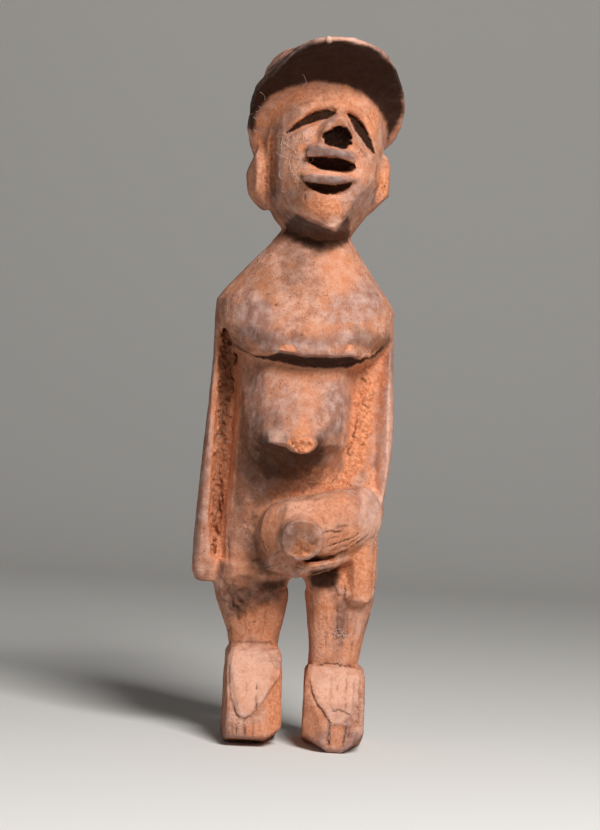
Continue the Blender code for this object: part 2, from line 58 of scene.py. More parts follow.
# A distance beyond any in the figure, and one too small to matter.
FAR = 1e9
TINY = 1e-9

# The numbers that stir a cell's place into a random number: one for each axis, one each for the seed and
# the salt, and then each shift with its multiplier.
AXIS_PRIMES = (73856093, 19349663, 83492791)
SEED_PRIME = 2654435761
SALT_PRIME = 97531
STIRS = ((15, 2246822519), (13, 3266489917))
LAST_SHIFT = 16
LOW_BITS = 0xFFFFFF


class Cut(Enum):
    """What a line on the wood is."""

    SPLIT = "a drying crack, narrow and dark"
    SCORE = "a shallow stroke of the blade"
    RIDGE = "a low edge left standing between two cuts"


class Layer(Enum):
    """What lies on the wood, with painted shade and highlights, each a number from 0 to 1 at every point of
    the skin.
    """

    WORN = "worn"
    EARTH = "earth"
    # Soot, and painted shade: near-black laid in recesses, in hollows and under overhangs.
    SOOT_AND_SHADE = "soot"
    # Pale dust, and on some edges painted highlights.
    PALE = "pale"


@dataclass(frozen=True)
class Sight:
    """The line of sight that the front of the figure is measured along.

    The eye is in the frame's millimetres. The measuring plane stands 850 mm from it.
    """

    eye: tuple[float, float, float] = (0.95, -843.5, 108.5)
    plane: float = 850.0
    rise: float = 3.5
    roll: float = 3.0
    lens: float = 110.6
    film: float = 36.0

    def seen(self, points: np.ndarray) -> np.ndarray:
        """Finds where the eye meets points on the measuring plane.

        Args:
            points: places in the frame, one row each.

        Returns:
            How far across and how far up each one is seen.
        """
        spread = self.plane / (points[:, 1] - self.eye[1])
        across = (points[:, 0] - self.eye[0]) * spread
        up = (points[:, 2] - self.eye[2]) * spread + self.eye[2] + self.rise
        return np.stack((across, up), axis=1)

    def placed(self, across: float, up: float, depth: float) -> Vector:
        """Finds the point at a depth that is seen at a place.

        Args:
            across: place across the measuring plane.
            up: place up the measuring plane.
            depth: the frame's Y of the point.

        Returns:
            The point in the frame.
        """
        reach = (depth - self.eye[1]) / self.plane
        height = self.eye[2] + (up - self.eye[2] - self.rise) * reach
        return Vector((self.eye[0] + across * reach, depth, height))

    def camera(self) -> bpy.types.Object:
        """Sets up the camera at the eye."""
        data = bpy.data.cameras.new("eye")
        data.sensor_fit = "VERTICAL"
        data.sensor_height = self.film
        data.lens = self.lens
        data.clip_start = 0.01
        obj = bpy.data.objects.new("eye", data)
        level = Matrix.Rotation(math.radians(90), 4, "X")
        roll = Matrix.Rotation(math.radians(self.roll), 4, "Z")
        obj.matrix_world = Matrix.Translation(Vector(self.eye) * MM) @ (level @ roll)
        bpy.context.scene.collection.objects.link(obj)
        bpy.context.scene.camera = obj
        return obj


SIGHT = Sight()


def alone(obj: bpy.types.Object) -> bpy.types.Object:
    """Selects one object and nothing else."""
    bpy.ops.object.select_all(action="DESELECT")
    obj.select_set(True)
    bpy.context.view_layer.objects.active = obj
    return obj


def modified(obj: bpy.types.Object, kind: str, **settings: object) -> None:
    """Adds a modifier to an object and applies it.

    Args:
        obj: the object to change.
        kind: Blender's name for the modifier.
        settings: the modifier's settings by name.
    """
    alone(obj)
    bpy.ops.object.modifier_add(type=kind)
    modifier = obj.modifiers[-1]
    for name, value in settings.items():
        setattr(modifier, name, value)
    bpy.ops.object.modifier_apply(modifier=modifier.name)


def grouped(size: int, *numbers: float) -> tuple[tuple[float, ...], ...]:
    """Deals numbers out in groups of a size."""
    return tuple(zip(*[map(float, numbers)] * size))


def pairs(*numbers: float) -> tuple[Place, ...]:
    """Makes places of numbers that give across and up in turn."""
    return grouped(2, *numbers)


def marks(*numbers: float) -> tuple[Mark, ...]:
    """Makes marks of numbers that give across, up and a depth in turn."""
    return grouped(3, *numbers)


def read(items: bpy.types.bpy_prop_collection, name: str, width: int = 3, kind: type = float) -> np.ndarray:
    """Reads one property of a mesh's vertices, edges or normals.

    Args:
        items: what the property is read from.
        name: its name.
        width: how many numbers it has.
        kind: what kind of number they are.

    Returns:
        One row for each item.
    """
    values = np.empty(len(items) * width, kind)
    items.foreach_get(name, values)
    return values.reshape(-1, width)


def smoothstep(values: np.ndarray, low: float, high: float) -> np.ndarray:
    """Rises smoothly from 0 at low to 1 at high."""
    share = np.clip((values - low) / (high - low), 0.0, 1.0)
    return share * share * (3.0 - 2.0 * share)


@dataclass(frozen=True)
class Rough:
    """Fixed random roughness in space, as smooth noise or as cells.

    Attributes:
        grain: size of one lump in mm along X, Y and Z.
        seed: sets one pattern apart from another.
    """

    grain: tuple[float, float, float]
    seed: int = 1

    def drawn(self, cells: np.ndarray, salt: int = 0) -> np.ndarray:
        """Draws a fixed random number from 0 to 1 for each cell."""
        whole = cells.astype(np.int64).astype(np.uint64)
        mixed = np.uint64(self.seed * SEED_PRIME + salt * SALT_PRIME)
        for axis, prime in enumerate(AXIS_PRIMES):
            mixed = mixed ^ whole[..., axis] * np.uint64(prime)
        for shift, prime in STIRS:
            mixed = (mixed ^ (mixed >> np.uint64(shift))) * np.uint64(prime)
        mixed = (mixed ^ (mixed >> np.uint64(LAST_SHIFT))) & np.uint64(LOW_BITS)
        return mixed.astype(np.float64) / LOW_BITS

    def noise(self, points: np.ndarray) -> np.ndarray:
        """Gives smooth noise from -1 to 1 at each point."""
        places = points / np.array(self.grain)
        base = np.floor(places)
        part = places - base
        part = part * part * (3.0 - 2.0 * part)
        total = np.zeros(len(points))
        for corner in np.ndindex(2, 2, 2):
            step = np.array(corner)
            share = np.prod(np.where(step == 1, part, 1.0 - part), axis=1)
            total += share * self.drawn(base + step)
        return total * 2.0 - 1.0

    def fractal(self, points: np.ndarray, octaves: int = 3) -> np.ndarray:
        """Adds finer noise to coarse, each half as large and half as strong."""
        total = np.zeros(len(points))
        for octave in range(octaves):
            finer = Rough(tuple(size / 2**octave for size in self.grain), self.seed + octave)
            total += finer.noise(points) / 2**octave
        return total

    def cells(self, points: np.ndarray) -> tuple[np.ndarray, np.ndarray]:
        """Measures how far each point is from the nearest two cell centres, in cells."""
        places = points / np.array(self.grain)
        base = np.floor(places)
        nearest = np.full(len(points), FAR)
        second = np.full(len(points), FAR)
        for corner in np.ndindex(3, 3, 3):
            cell = base + np.array(corner) - 1
            centre = cell + np.stack([self.drawn(cell, salt) for salt in (1, 2, 3)], axis=1)
            gap = np.linalg.norm(places - centre, axis=1)
            second = np.minimum(second, np.maximum(nearest, gap))
            nearest = np.minimum(nearest, gap)
        return nearest, second


@dataclass(frozen=True)
class Line:
    """A mark that follows a route on the front of the figure.

    Attributes:
        route: its places on the measuring plane.
        cut: what kind of mark it is.
        half: half its width in mm.
        depth: how deep it goes, or how high it stands, in mm.
    """

    # The room around it that it may stray into in mm, the share of it that is left at its ends, and the
    # part of its length over which it comes to that.
    ROOM = 1.0
    END = 0.35
    TAPER = 0.2

    route: tuple[Place, ...]
    cut: Cut = Cut.SPLIT
    half: float = 0.5
    depth: float = 0.5

    def near(self, places: np.ndarray) -> np.ndarray:
        """Picks out the places that are close enough to matter."""
        ends = np.array(self.route)
        margin = self.half * 2.0 + self.ROOM
        return np.all((places > ends.min(axis=0) - margin) & (places < ends.max(axis=0) + margin), axis=1)

    def share(self, places: np.ndarray) -> np.ndarray:
        """Gives 1 on the route, falling to 0 half its width away and towards its two ends."""
        ends = np.array(self.route)
        legs = ends[1:] - ends[:-1]
        lengths = np.linalg.norm(legs, axis=1)
        walked = np.concatenate(([0.0], np.cumsum(lengths)))
        nearest = np.full(len(places), FAR)
        along = np.zeros(len(places))
        for start, leg, length, before in zip(ends[:-1], legs, lengths, walked[:-1]):
            part = np.clip(((places - start) @ leg) / length**2, 0.0, 1.0)
            gap = np.linalg.norm(places - start - part[:, None] * leg, axis=1)
            closer = gap < nearest
            nearest = np.where(closer, gap, nearest)
            along = np.where(closer, (before + part * length) / walked[-1], along)
        taper = self.END + (1.0 - self.END) * smoothstep(np.minimum(along, 1.0 - along), 0.0, self.TAPER)
        return smoothstep(-nearest, -self.half, 0.0) * taper


@dataclass(frozen=True)
class Patch:
    """A place on the front where something lies on the wood: an ellipse on the measuring plane.

    Attributes:
        layer: what lies there.
        centre: its middle.
        reach: half its width and half its height in mm.
        amount: how thick its layer is there, from 0 to 1.
        turn: how far it is turned anticlockwise, in degrees.
    """

    # How far out of the ellipse it starts and is whole, as shares of its reach, and how ragged its edge is.
    START = 1.30
    WHOLE = 0.60
    RAGGED = 0.30

    layer: Layer
    centre: Place
    reach: Place
    amount: float = 1.0
    turn: float = 0.0

    def share(self, places: np.ndarray, ragged: np.ndarray) -> np.ndarray:
        """Gives the thickness of the layer at each place, with an edge that is as ragged as the noise."""
        angle = math.radians(self.turn)
        offset = places - np.array(self.centre)
        across = offset[:, 0] * math.cos(angle) + offset[:, 1] * math.sin(angle)
        up = -offset[:, 0] * math.sin(angle) + offset[:, 1] * math.cos(angle)
        far = np.hypot(across / self.reach[0], up / self.reach[1]) + self.RAGGED * ragged
        return self.amount * smoothstep(-far, -self.START, -self.WHOLE)


@dataclass(frozen=True)
class Area:
    """A place on the front with an outline of its own, where a layer lies or the wood stands up or is sunk.

    Attributes:
        outline: its corners on the measuring plane.
        layer: what lies there, if anything does.
        amount: how thick the layer is, from 0 to 1.
        rise: how far the wood there stands up in mm, less than 0 where it is sunk.
        edge: how far it takes to fade in from the outline in mm.
        rough: how broken the wood there is in mm.
        behind: the frame's Y in mm that the wood has to stand behind, for a place under an overhang.
    """

    # How ragged its edge is, as a share of the edge's width.
    RAGGED = 0.25

    outline: tuple[Place, ...]
    layer: Layer | None = None
    amount: float = 1.0
    rise: float = 0.0
    edge: float = 0.6
    rough: float = 0.0
    behind: float | None = None

    def share(self, places: np.ndarray, ragged: np.ndarray) -> np.ndarray:
        """Gives 1 inside the outline and 0 outside it, with an edge that is as ragged as the noise."""
        depth = inside(self.outline, places) + self.RAGGED * ragged * self.edge
        return smoothstep(depth, 0.0, self.edge)


def inside(outline: Sequence[Place], places: np.ndarray) -> np.ndarray:
    """Measures how deep each place lies inside an outline.

    Args:
        outline: corners of a closed outline, in order.
        places: places on the measuring plane.

    Returns:
        The distance to the outline in mm, less than 0 outside it.
    """
    corners = np.array(outline)
    nearest = np.full(len(places), FAR)
    within = np.zeros(len(places), bool)
    for start, end in zip(corners, np.roll(corners, -1, axis=0)):
        leg = end - start
        share = np.clip(((places - start) @ leg) / (leg @ leg), 0.0, 1.0)
        nearest = np.minimum(nearest, np.linalg.norm(places - start - share[:, None] * leg, axis=1))
        spans = (start[1] > places[:, 1]) != (end[1] > places[:, 1])
        rise = leg[1] or TINY
        crossing = start[0] + (places[:, 1] - start[1]) / rise * leg[0]
        within ^= spans & (places[:, 0] < crossing)
    return np.where(within, nearest, -nearest)


class Skin:
    """The surface of the carving as arrays in millimetres, with the layers that lie on it."""

    # The cosine between a normal and the line of sight where the skin is first seen, where it is fully
    # seen, and where it has turned away.
    EDGE_ON = 0.02
    IN_VIEW = 0.25
    AVERTED = -0.5

    # How far short of its point a ray from the eye stops, and how far off the skin a ray sets out, in mm.
    SHORT = 0.8
    OFF = 0.3

    # How many times what the rays find is spread to the points that cast none.
    SPREAD = 10

    def __init__(self, obj: bpy.types.Object) -> None:
        """Reads an object's mesh."""
        self.obj = obj
        self.points = read(obj.data.vertices, "co") / MM
        self.edges = read(obj.data.edges, "vertices", 2, np.int32)
        self.degree = np.bincount(self.edges.ravel(), minlength=len(self.points))
        self.layers = {layer: np.zeros(len(self.points)) for layer in Layer}
        self.measure()

    def measure(self) -> None:
        """Works out the normals, the places on the measuring plane and what faces the eye.

        What the eye can see is kept as front. What only looks its way, also under an overhang, is kept
        as ahead.
        """
        self.write()
        self.normals = read(self.obj.data.vertex_normals, "vector")
        self.places = SIGHT.seen(self.points)
        towards = np.array(SIGHT.eye) - self.points
        towards /= np.linalg.norm(towards, axis=1)[:, None]
        self.facing = np.einsum("ij,ij->i", self.normals, towards)
        self.front = smoothstep(self.facing, self.EDGE_ON, self.IN_VIEW) * self.visible()
        self.ahead = smoothstep(self.facing, self.AVERTED, 0.0) * (self.points[:, 1] < 0.0)

    def visible(self) -> np.ndarray:
        """Tells which points the eye sees with nothing before them."""
        tree = tree_of(self.obj)
        eye = Vector(SIGHT.eye)
        seen = np.zeros(len(self.points))
        for index in np.nonzero(self.facing > self.EDGE_ON)[0]:
            point = Vector(self.points[index])
            ray = point - eye
            hit = tree.ray_cast(eye, ray.normalized(), ray.length - self.SHORT)
            seen[index] = hit[0] is None
        return seen

    def write(self) -> None:
        """Puts the points back into the mesh."""
        self.obj.data.vertices.foreach_set("co", (self.points * MM).ravel())
        self.obj.data.update()

    def push(self, amount: np.ndarray) -> None:
        """Moves each point outwards by an amount in mm."""
        self.points += self.normals * amount[:, None]

    def blurred(self, values: np.ndarray, times: int) -> np.ndarray:
        """Spreads values over neighbouring points, again and again."""
        first, second = self.edges.T
        count = len(self.points)
        for _ in range(times):
            total = np.stack(
                [
                    np.bincount(first, column[second], count) + np.bincount(second, column[first], count)
                    for column in values.reshape(count, -1).T
                ],
                axis=1,
            )
            values = (values.reshape(count, -1) + total) / (self.degree + 1)[:, None]
        return values

    def relief(self, times: int) -> np.ndarray:
        """Measures how far each point stands out from its surroundings in mm."""
        return np.einsum("ij,ij->i", self.points - self.blurred(self.points, times), self.normals)

    def shelter(self, step: int, rays: int, reach: float) -> np.ndarray:
        """Tells how walled in each point is, from 0 in the open to 1 in a deep hollow.

        Args:
            step: only every step-th point casts rays, and the others take their neighbours' measure.
            rays: how many rays a point casts.
            reach: how far a ray looks in mm.

        Returns:
            The share of each point's rays that meet wood.
        """
        tree = tree_of(self.obj)
        turns = np.arange(rays) * math.pi * (3.0 - math.sqrt(5.0))
        rise = (np.arange(rays) + 0.5) / rays
        flat = np.sqrt(1.0 - rise**2)
        dome = [Vector(ray) for ray in zip(flat * np.cos(turns), flat * np.sin(turns), rise)]
        known = np.zeros((len(self.points), 2))
        for index in range(0, len(self.points), step):
            normal = Vector(self.normals[index])
            start = Vector(self.points[index]) + normal * self.OFF
            turn = normal.to_track_quat("Z", "Y").to_matrix()
            hits = sum(tree.ray_cast(start, turn @ ray, reach)[0] is not None for ray in dome)
            known[index] = hits / rays, 1.0
        spread = self.blurred(known, self.SPREAD)
        return spread[:, 0] / np.maximum(spread[:, 1], TINY)

    def lay(self, layer: Layer, amount: np.ndarray) -> None:
        """Lays more of a layer where it isn't as thick already."""
        self.layers[layer] = np.maximum(self.layers[layer], amount)

    def keep_layers(self) -> None:
        """Writes the layers to the mesh as attributes for the finish."""
        for layer, values in self.layers.items():
            attribute = self.obj.data.attributes.new(layer.value, "FLOAT", "POINT")
            attribute.data.foreach_set("value", np.clip(values, 0.0, 1.0).astype(np.float32))


def tree_of(obj: bpy.types.Object) -> BVHTree:
    """Makes a tree for casting rays at an object's mesh, in millimetres."""
    corners = read(obj.data.vertices, "co") / MM
    return BVHTree.FromPolygons(corners.tolist(), [tuple(face.vertices) for face in obj.data.polygons])


@dataclass(frozen=True)
class Notch:
    """A recess that a blade took out of the front, with a depth of its own at each corner.

    Attributes:
        name: what the recess is.
        rim: its corners on the measuring plane, each with the depth of the floor there in mm.
        dark: how thick the soot and painted shade in it is, from 0 to 1.
        stand_off: how far in front of the wood the cut starts in mm.
        edge: how far the soot and painted shade take to fade in from the rim in mm.
    """

    name: str
    rim: tuple[Mark, ...]
    dark: float = 0.0
    stand_off: float = 4.0
    edge: float = 0.3


@dataclass(frozen=True)
class Boss:
    """A flat-faced form that stands on the front.

    Attributes:
        name: what the form is.
        outline: its corners on the measuring plane.
        proud: how far its face stands in front of the wood in mm.
        root: how far it reaches into the wood in mm.
    """

    name: str
    outline: tuple[Place, ...]
    proud: float = 0.6
    root: float = 3.0


# Recesses: across, up and the depth of the floor at each corner, then how dark they are, soot and painted
# shade together.
NOTCHES = (
    Notch(
        "nose_hollow",
        marks(
            2.3, 204.6, 2, 2.7, 206.4, 2.2, 4.8, 207.4, 2.6, 6.2, 208.7, 2.8, 8.4, 209.1, 3,
            10.6, 208.6, 2.8, 12, 206.8, 2.4, 12.7, 205.2, 2, 12, 204.2, 2.2, 13.1, 203, 1.6,
            11.4, 202.6, 2.2, 10.9, 201.2, 2, 8, 201.6, 2.6, 5, 201.9, 2.4, 3.4, 202.8, 1.8,
            3.2, 203.8, 1.8,
        ),
        1.0,
    ),
    Notch(
        "mouth",
        marks(
            -2.3, 198.2, 2, 0.5, 198.4, 3.2, 4, 198.6, 3.6, 8, 198.4, 3.6, 11, 197.7, 3.4, 13.8, 196.7, 2.6,
            14.4, 195.2, 1.6, 13.4, 193.8, 1.4, 10, 193.6, 1.6, 6, 193.9, 1.6, 3.5, 193.8, 1.6,
            1.5, 194.6, 1.6, 0, 195.4, 1.6, -2.2, 196.4, 1,
        ),
        0.97,
    ),
    Notch(
        "under_lip",
        marks(
            -3.5, 190.4, 1.2, 0, 189.7, 2.4, 3, 189.4, 2.8, 7, 189.4, 2.8, 11, 190, 2.4, 13.8, 190.6, 1.2,
            12.4, 188.4, 0.5, 10, 186.9, 0.3, 7.5, 186.1, 0.2, 5.5, 185.8, 0.2, 3, 186.1, 0.2,
            0, 187.1, 0.3, -2.4, 188.6, 0.5,
        ),
        0.95,
    ),
    Notch(
        "right_eye",
        marks(
            -10.6, 204.9, 0.3, -8.5, 207.2, 1, -5.5, 209.8, 1.5, -2.5, 211.9, 1.8, 0.5, 213.4, 1.9,
            3.5, 214.1, 1.8, 6, 213.9, 1.4, 7.4, 213.2, 0.6, 5.8, 211.8, 0.5, 3, 210.8, 0.6, 0, 210, 0.6,
            -2.8, 208.7, 0.6, -5.5, 207, 0.5, -8.5, 205.5, 0.3,
        ),
        0.97,
    ),
    Notch(
        "left_eye",
        marks(
            9.8, 213.8, 0.5, 11.5, 213.3, 1.3, 13.6, 212.2, 1.7, 15.8, 210.1, 1.9, 17.6, 207.3, 1.9,
            19, 204.6, 1.7, 20, 202.2, 1.1, 20.9, 200, 0.3, 19.4, 200.3, 0.3, 17.6, 202.2, 0.6,
            15.6, 204.8, 0.6, 13.4, 207.6, 0.6, 11.9, 210.2, 0.6, 10.6, 212.3, 0.5,
        ),
        0.97,
    ),
    Notch(
        "under_chin",
        marks(
            -8.2, 177.2, 0, -5, 179.3, 0.1, 0, 177.4, 0.1, 5, 175.4, 0.1, 8.4, 174.5, 0.1, 10, 176.8, 0.1,
            12.5, 180.4, 0.1, 13.6, 177.6, 0, 12, 173.4, 0.3, 8, 171, 0.5, 3, 170.4, 0.5, -2, 171, 0.5,
            -7.4, 173.6, 0.3,
        ),
    ),
    Notch(
        "under_shelf",
        marks(
            -17, 131.6, 0.1, -12, 131.6, 0.3, -8, 133.1, 0.4, -4, 132.6, 0.4, 0, 132, 0.4, 6, 132.1, 0.4,
            12, 132.3, 0.4, 16, 132.7, 0.4, 19, 132, 0.4, 22, 133.2, 0.4, 26, 136.5, 0.3, 28.6, 139.2, 0.1,
            25, 134.2, 0.3, 20, 130.8, 0.3, 15, 128.8, 0.3, 8, 128.1, 0.3, 0, 128.3, 0.3, -5, 128.9, 0.3,
            -10, 129.6, 0.3, -15.5, 130.6, 0.1,
        ),
    ),
    Notch(
        "under_belly",
        marks(
            -14, 102.4, 0, -9, 101.9, 0.5, -4.5, 101.2, 0.8, -3, 100.2, 0.8, -1, 99.2, 0.8, 1.5, 98.7, 0.8,
            4, 99.4, 0.7, 6, 100.2, 0.4, 7.6, 101, 0, 8.6, 97, 0, 6, 92.4, 0, 2, 91.4, 0, -6, 91.6, 0,
            -12, 94, 0, -14.6, 99, 0,
        ),
    ),
)

# The flat faces of the lips.
BOSSES = (
    Boss(
        "upper_lip",
        pairs(
            -2.5, 199.2, -1.8, 200.5, 0, 201.5, 3, 201.9, 6, 201.6, 9, 201, 12, 200.1, 13.7, 198.9,
            14.4, 197.2, 13.5, 196.7, 11, 197.7, 8, 198.4, 4, 198.6, 0.5, 198.4, -1.9, 198.1,
        ),
        0.9,
    ),
    Boss(
        "lower_lip",
        pairs(
            -3.6, 190.9, -2.8, 191.9, 0, 192.5, 4, 192.6, 8, 192.3, 12, 192.2, 14.1, 191.6, 13.8, 190.6,
            11, 189.9, 7, 189.4, 3, 189.4, 0, 189.7, -2.6, 190.1,
        ),
        0.7,
    ),
)

# What each kind of line leaves on the wood, and how thick.
LEFT_BY = {Cut.SPLIT: (Layer.SOOT_AND_SHADE, 0.72), Cut.SCORE: (Layer.SOOT_AND_SHADE, 0.32), Cut.RIDGE: (Layer.WORN, 0.5)}

# Plates that stand up, broken places, hollows blackened by smoke, and painted shade and a painted
# highlight.
AREAS = (
    Area(
        pairs(
            -19.2, 26, -19, 22, -18.6, 18.6, -17.8, 15, -16.3, 11.4, -14.6, 10, -12.6, 10.1, -11, 11.4,
            -9.6, 14.1, -8, 14.9, -6.5, 16.8, -5.3, 20.4, -4.6, 26, -6, 33, -18.5, 33,
        ),
        Layer.PALE, 0.55, rise=0.5, edge=0.7,
    ),
    Area(
        pairs(
            7.4, 25, 8.8, 20, 9.8, 17.5, 11, 15.5, 13.2, 13.3, 14.2, 11.4, 15.2, 9.8, 19.8, 10.4,
            22.3, 12.6, 23.5, 16, 24.3, 20, 25, 25, 23.5, 28.8, 8, 28.8,
        ),
        Layer.PALE, 0.55, rise=0.5, edge=0.7,
    ),
    Area(pairs(14.6, 9.6, 16.3, 13.8, 18.5, 14.3, 20.5, 13.4, 22.4, 12.8, 20, 10.2), rise=-0.5, rough=0.3),
    Area(pairs(15.8, 2.2, 15.6, 9.4, 20.4, 9.8, 20.4, 3, 18.4, 1.2), Layer.EARTH, 0.5, rise=-0.5),
    Area(
        pairs(
            -4.6, 102.4, -3.4, 104.4, -0.4, 105.4, 3, 105.2, 5.4, 104, 6, 102, 4.6, 99.4, 2.6, 98.4, 1, 98,
            -0.6, 99.4, -2.4, 99.8,
        ),
        Layer.EARTH, 0.9, rise=-0.2, edge=0.6, rough=0.8,
    ),
    Area(
        pairs(13, 61.5, 16.5, 62.5, 18.8, 58, 20.2, 53.6, 18.2, 51.2, 15.4, 52.6, 13.6, 56),
        rise=0.5, edge=1.2, rough=0.8,
    ),
    # Painted shade under the cap's peak: near-black over its underside.
    Area(
        pairs(
            -20.2, 201, -18.5, 211.4, -15, 216.8, -10, 219.8, -5, 221.3, 0, 222.2, 5, 222.2, 10, 221.4,
            15, 219.4, 20, 215.2, 23, 210.4, 23.8, 202, 30, 214, 29, 228, 18, 236.6, 5, 238.2, -4.6, 236.8,
            -16, 227, -23.4, 217.6, -24.4, 209,
        ),
        Layer.SOOT_AND_SHADE, 0.94, edge=1.6,
    ),
    # More painted shade under the left end of the peak.
    Area(
        pairs(-24.6, 208, -24, 216, -17.4, 226.4, -9, 234.6, -5, 236, -15, 224, -21, 214),
        Layer.SOOT_AND_SHADE, 0.8, edge=0.8,
    ),
    Area(pairs(-4, 66, -4.2, 72, 0, 76, 6, 76, 9.4, 71, 8, 66, 3, 64.4), Layer.SOOT_AND_SHADE, 0.44, edge=1.8),
    Area(
        pairs(-1.4, 65.4, -0.6, 68.6, 1.6, 71, 4.6, 70.6, 7.6, 70, 8.4, 67, 5, 64.6, 1.4, 64),
        Layer.EARTH, 0.8, rise=-0.3, edge=1.2, rough=0.5,
    ),
    Area(
        pairs(-8.6, 133.2, -7.4, 135.4, -3.4, 135.8, -1.4, 133.2, -4, 132.6),
        Layer.EARTH, 0.8, rise=-0.5, edge=0.6, rough=0.3,
    ),
    Area(
        pairs(13.4, 133.4, 14.4, 136.6, 16.6, 137.4, 17.2, 134.4),
        Layer.EARTH, 0.8, rise=-0.5, edge=0.6, rough=0.3,
    ),
    # Painted shade under the chin and on the neck below it, this area and the next.
    Area(
        pairs(
            -9.2, 175.8, -5, 179.2, 0, 177.2, 5, 175.2, 8.5, 174.2, 10, 176.6, 12.5, 180.2, 14, 177.6,
            13.8, 170, 8, 167, 3, 166, -2, 168, -10.4, 172,
        ),
        Layer.SOOT_AND_SHADE, 0.8, edge=0.9, behind=-16.4,
    ),
    Area(
        pairs(-9, 173.2, -2, 174, 6, 171.6, 12, 172.6, 13, 168.6, 3, 165, -10, 169.6),
        Layer.SOOT_AND_SHADE, 0.93, edge=3.0,
    ),
    # A painted highlight on the edge of the chin.
    Area(
        pairs(5.4, 175.9, 8.6, 175.2, 9.6, 177.6, 10.6, 181, 8.4, 178.8, 7.4, 176.9),
        Layer.PALE, 1.0, edge=0.7,
    ),
    # Painted shade under the lip of the chest's shelf, and at its left end in the next area.
    Area(
        pairs(
            -20, 132.8, -16, 131.4, -12, 131.3, -8, 132.8, -4, 132.4, 0, 131.8, 6, 131.9, 12, 132.1,
            16, 132.5, 19, 131.8, 22, 133, 26, 136.4, 29.3, 139, 26, 134, 20, 130.2, 15, 128.2, 8, 127.6,
            0, 127.8, -5, 128.4, -10, 129.2, -16, 130.2,
        ),
        Layer.SOOT_AND_SHADE, 0.93, edge=0.6, rough=0.35,
    ),
    Area(
        pairs(-28.6, 139.8, -25, 136.6, -20, 133.4, -15.6, 131.4, -19, 130.8, -24.6, 133.6, -28.8, 137.4),
        Layer.SOOT_AND_SHADE, 0.8, edge=1.0, rough=0.2,
    ),
    # Painted shadow that the belly casts downwards, fading towards the bottom, this area and the next.
    Area(
        pairs(-17, 108, -4, 108, 4, 108, 12, 108, 11.6, 98, 8.4, 91, 2, 87.4, -5, 86.4, -12, 87.4, -18, 95),
        Layer.SOOT_AND_SHADE, 0.8, edge=4.6, behind=-21.0,
    ),
    Area(
        pairs(
            -18, 106, -2, 105, 8, 105, 13, 99, 10.8, 90, 7, 86, -2, 84.2, -8, 80, -13, 78, -20, 86, -20, 98,
        ),
        Layer.SOOT_AND_SHADE, 0.58, edge=3.4, rough=0.3, behind=-21.0,
    ),
    Area(
        pairs(-13, 84, -11.2, 79, -11.6, 72, -9.4, 65, -5, 59.6, -1, 57.4, -12, 57, -15.4, 70),
        Layer.SOOT_AND_SHADE, 0.6, edge=2.4, rough=0.35,
    ),
    Area(
        pairs(-19.5, 86, -12, 84, -11, 72, -9, 62, -14, 58, -17, 66, -19, 76),
        Layer.SOOT_AND_SHADE, 0.3, edge=2.6, rough=0.35,
    ),
    # This area and the next two are painted shade under the hips, across the tops of the thighs.
    Area(
        pairs(-25, 56, -12, 56.4, -9.6, 53, -12, 45, -17, 41, -21.6, 44),
        Layer.SOOT_AND_SHADE, 0.66, edge=3.4, rough=0.5,
    ),
    Area(pairs(-12, 57, -1, 58.2, -0.4, 53.4, -7, 50.6, -11, 52.6), Layer.SOOT_AND_SHADE, 0.78, edge=2.4),
    Area(
        pairs(-26, 58.6, -12, 58, 0, 59.6, 0.6, 52, -5, 47.6, -12, 43.6, -22, 42),
        Layer.SOOT_AND_SHADE, 0.46, edge=3.6, rough=0.6,
    ),
    # Painted shadow under the forearm.
    Area(
        pairs(4, 57.6, 5.6, 61.2, 10, 62.4, 15, 63.2, 17.4, 58.4, 14.4, 53.6, 6, 53.4),
        Layer.SOOT_AND_SHADE, 0.9, edge=2.2, rough=0.3,
    ),
    Area(
        pairs(13, 54, 20.4, 51.2, 19.8, 44, 19.4, 34, 16, 35, 14.6, 44),
        Layer.SOOT_AND_SHADE, 0.42, edge=2.0, rough=0.2,
    ),
    Area(
        pairs(-28.6, 138, -22.4, 133, -22.2, 118, -23.4, 104, -27.6, 104, -28.4, 118),
        Layer.SOOT_AND_SHADE, 0.56, rise=0.3, edge=1.2, rough=1.3,
    ),
    Area(
        pairs(-28.6, 106, -22.4, 106, -23.2, 80, -25.6, 62, -28, 66, -28.8, 84),
        Layer.SOOT_AND_SHADE, 0.3, rise=0.2, edge=1.2, rough=1.1,
    ),
    Area(
        pairs(17.4, 132, 24.4, 135, 25.2, 112, 23, 96, 17, 87.4, 11, 86.6, 15, 97, 17.6, 112),
        Layer.EARTH, 0.9, rise=0.1, edge=1.4, rough=0.55,
    ),
    Area(
        pairs(1.5, 237.4, 2, 238.5, 3.2, 239, 4.4, 238.5, 4.9, 237.4, 4.4, 236.2, 3.2, 235.8, 2, 236.2),
        Layer.PALE, 1.0, rise=0.9, edge=0.9,
    ),
    Area(pairs(17.8, 52, 19.2, 51.4, 20.2, 53, 19.4, 54.6, 18, 54), Layer.PALE, 0.9, rise=0.9),
)

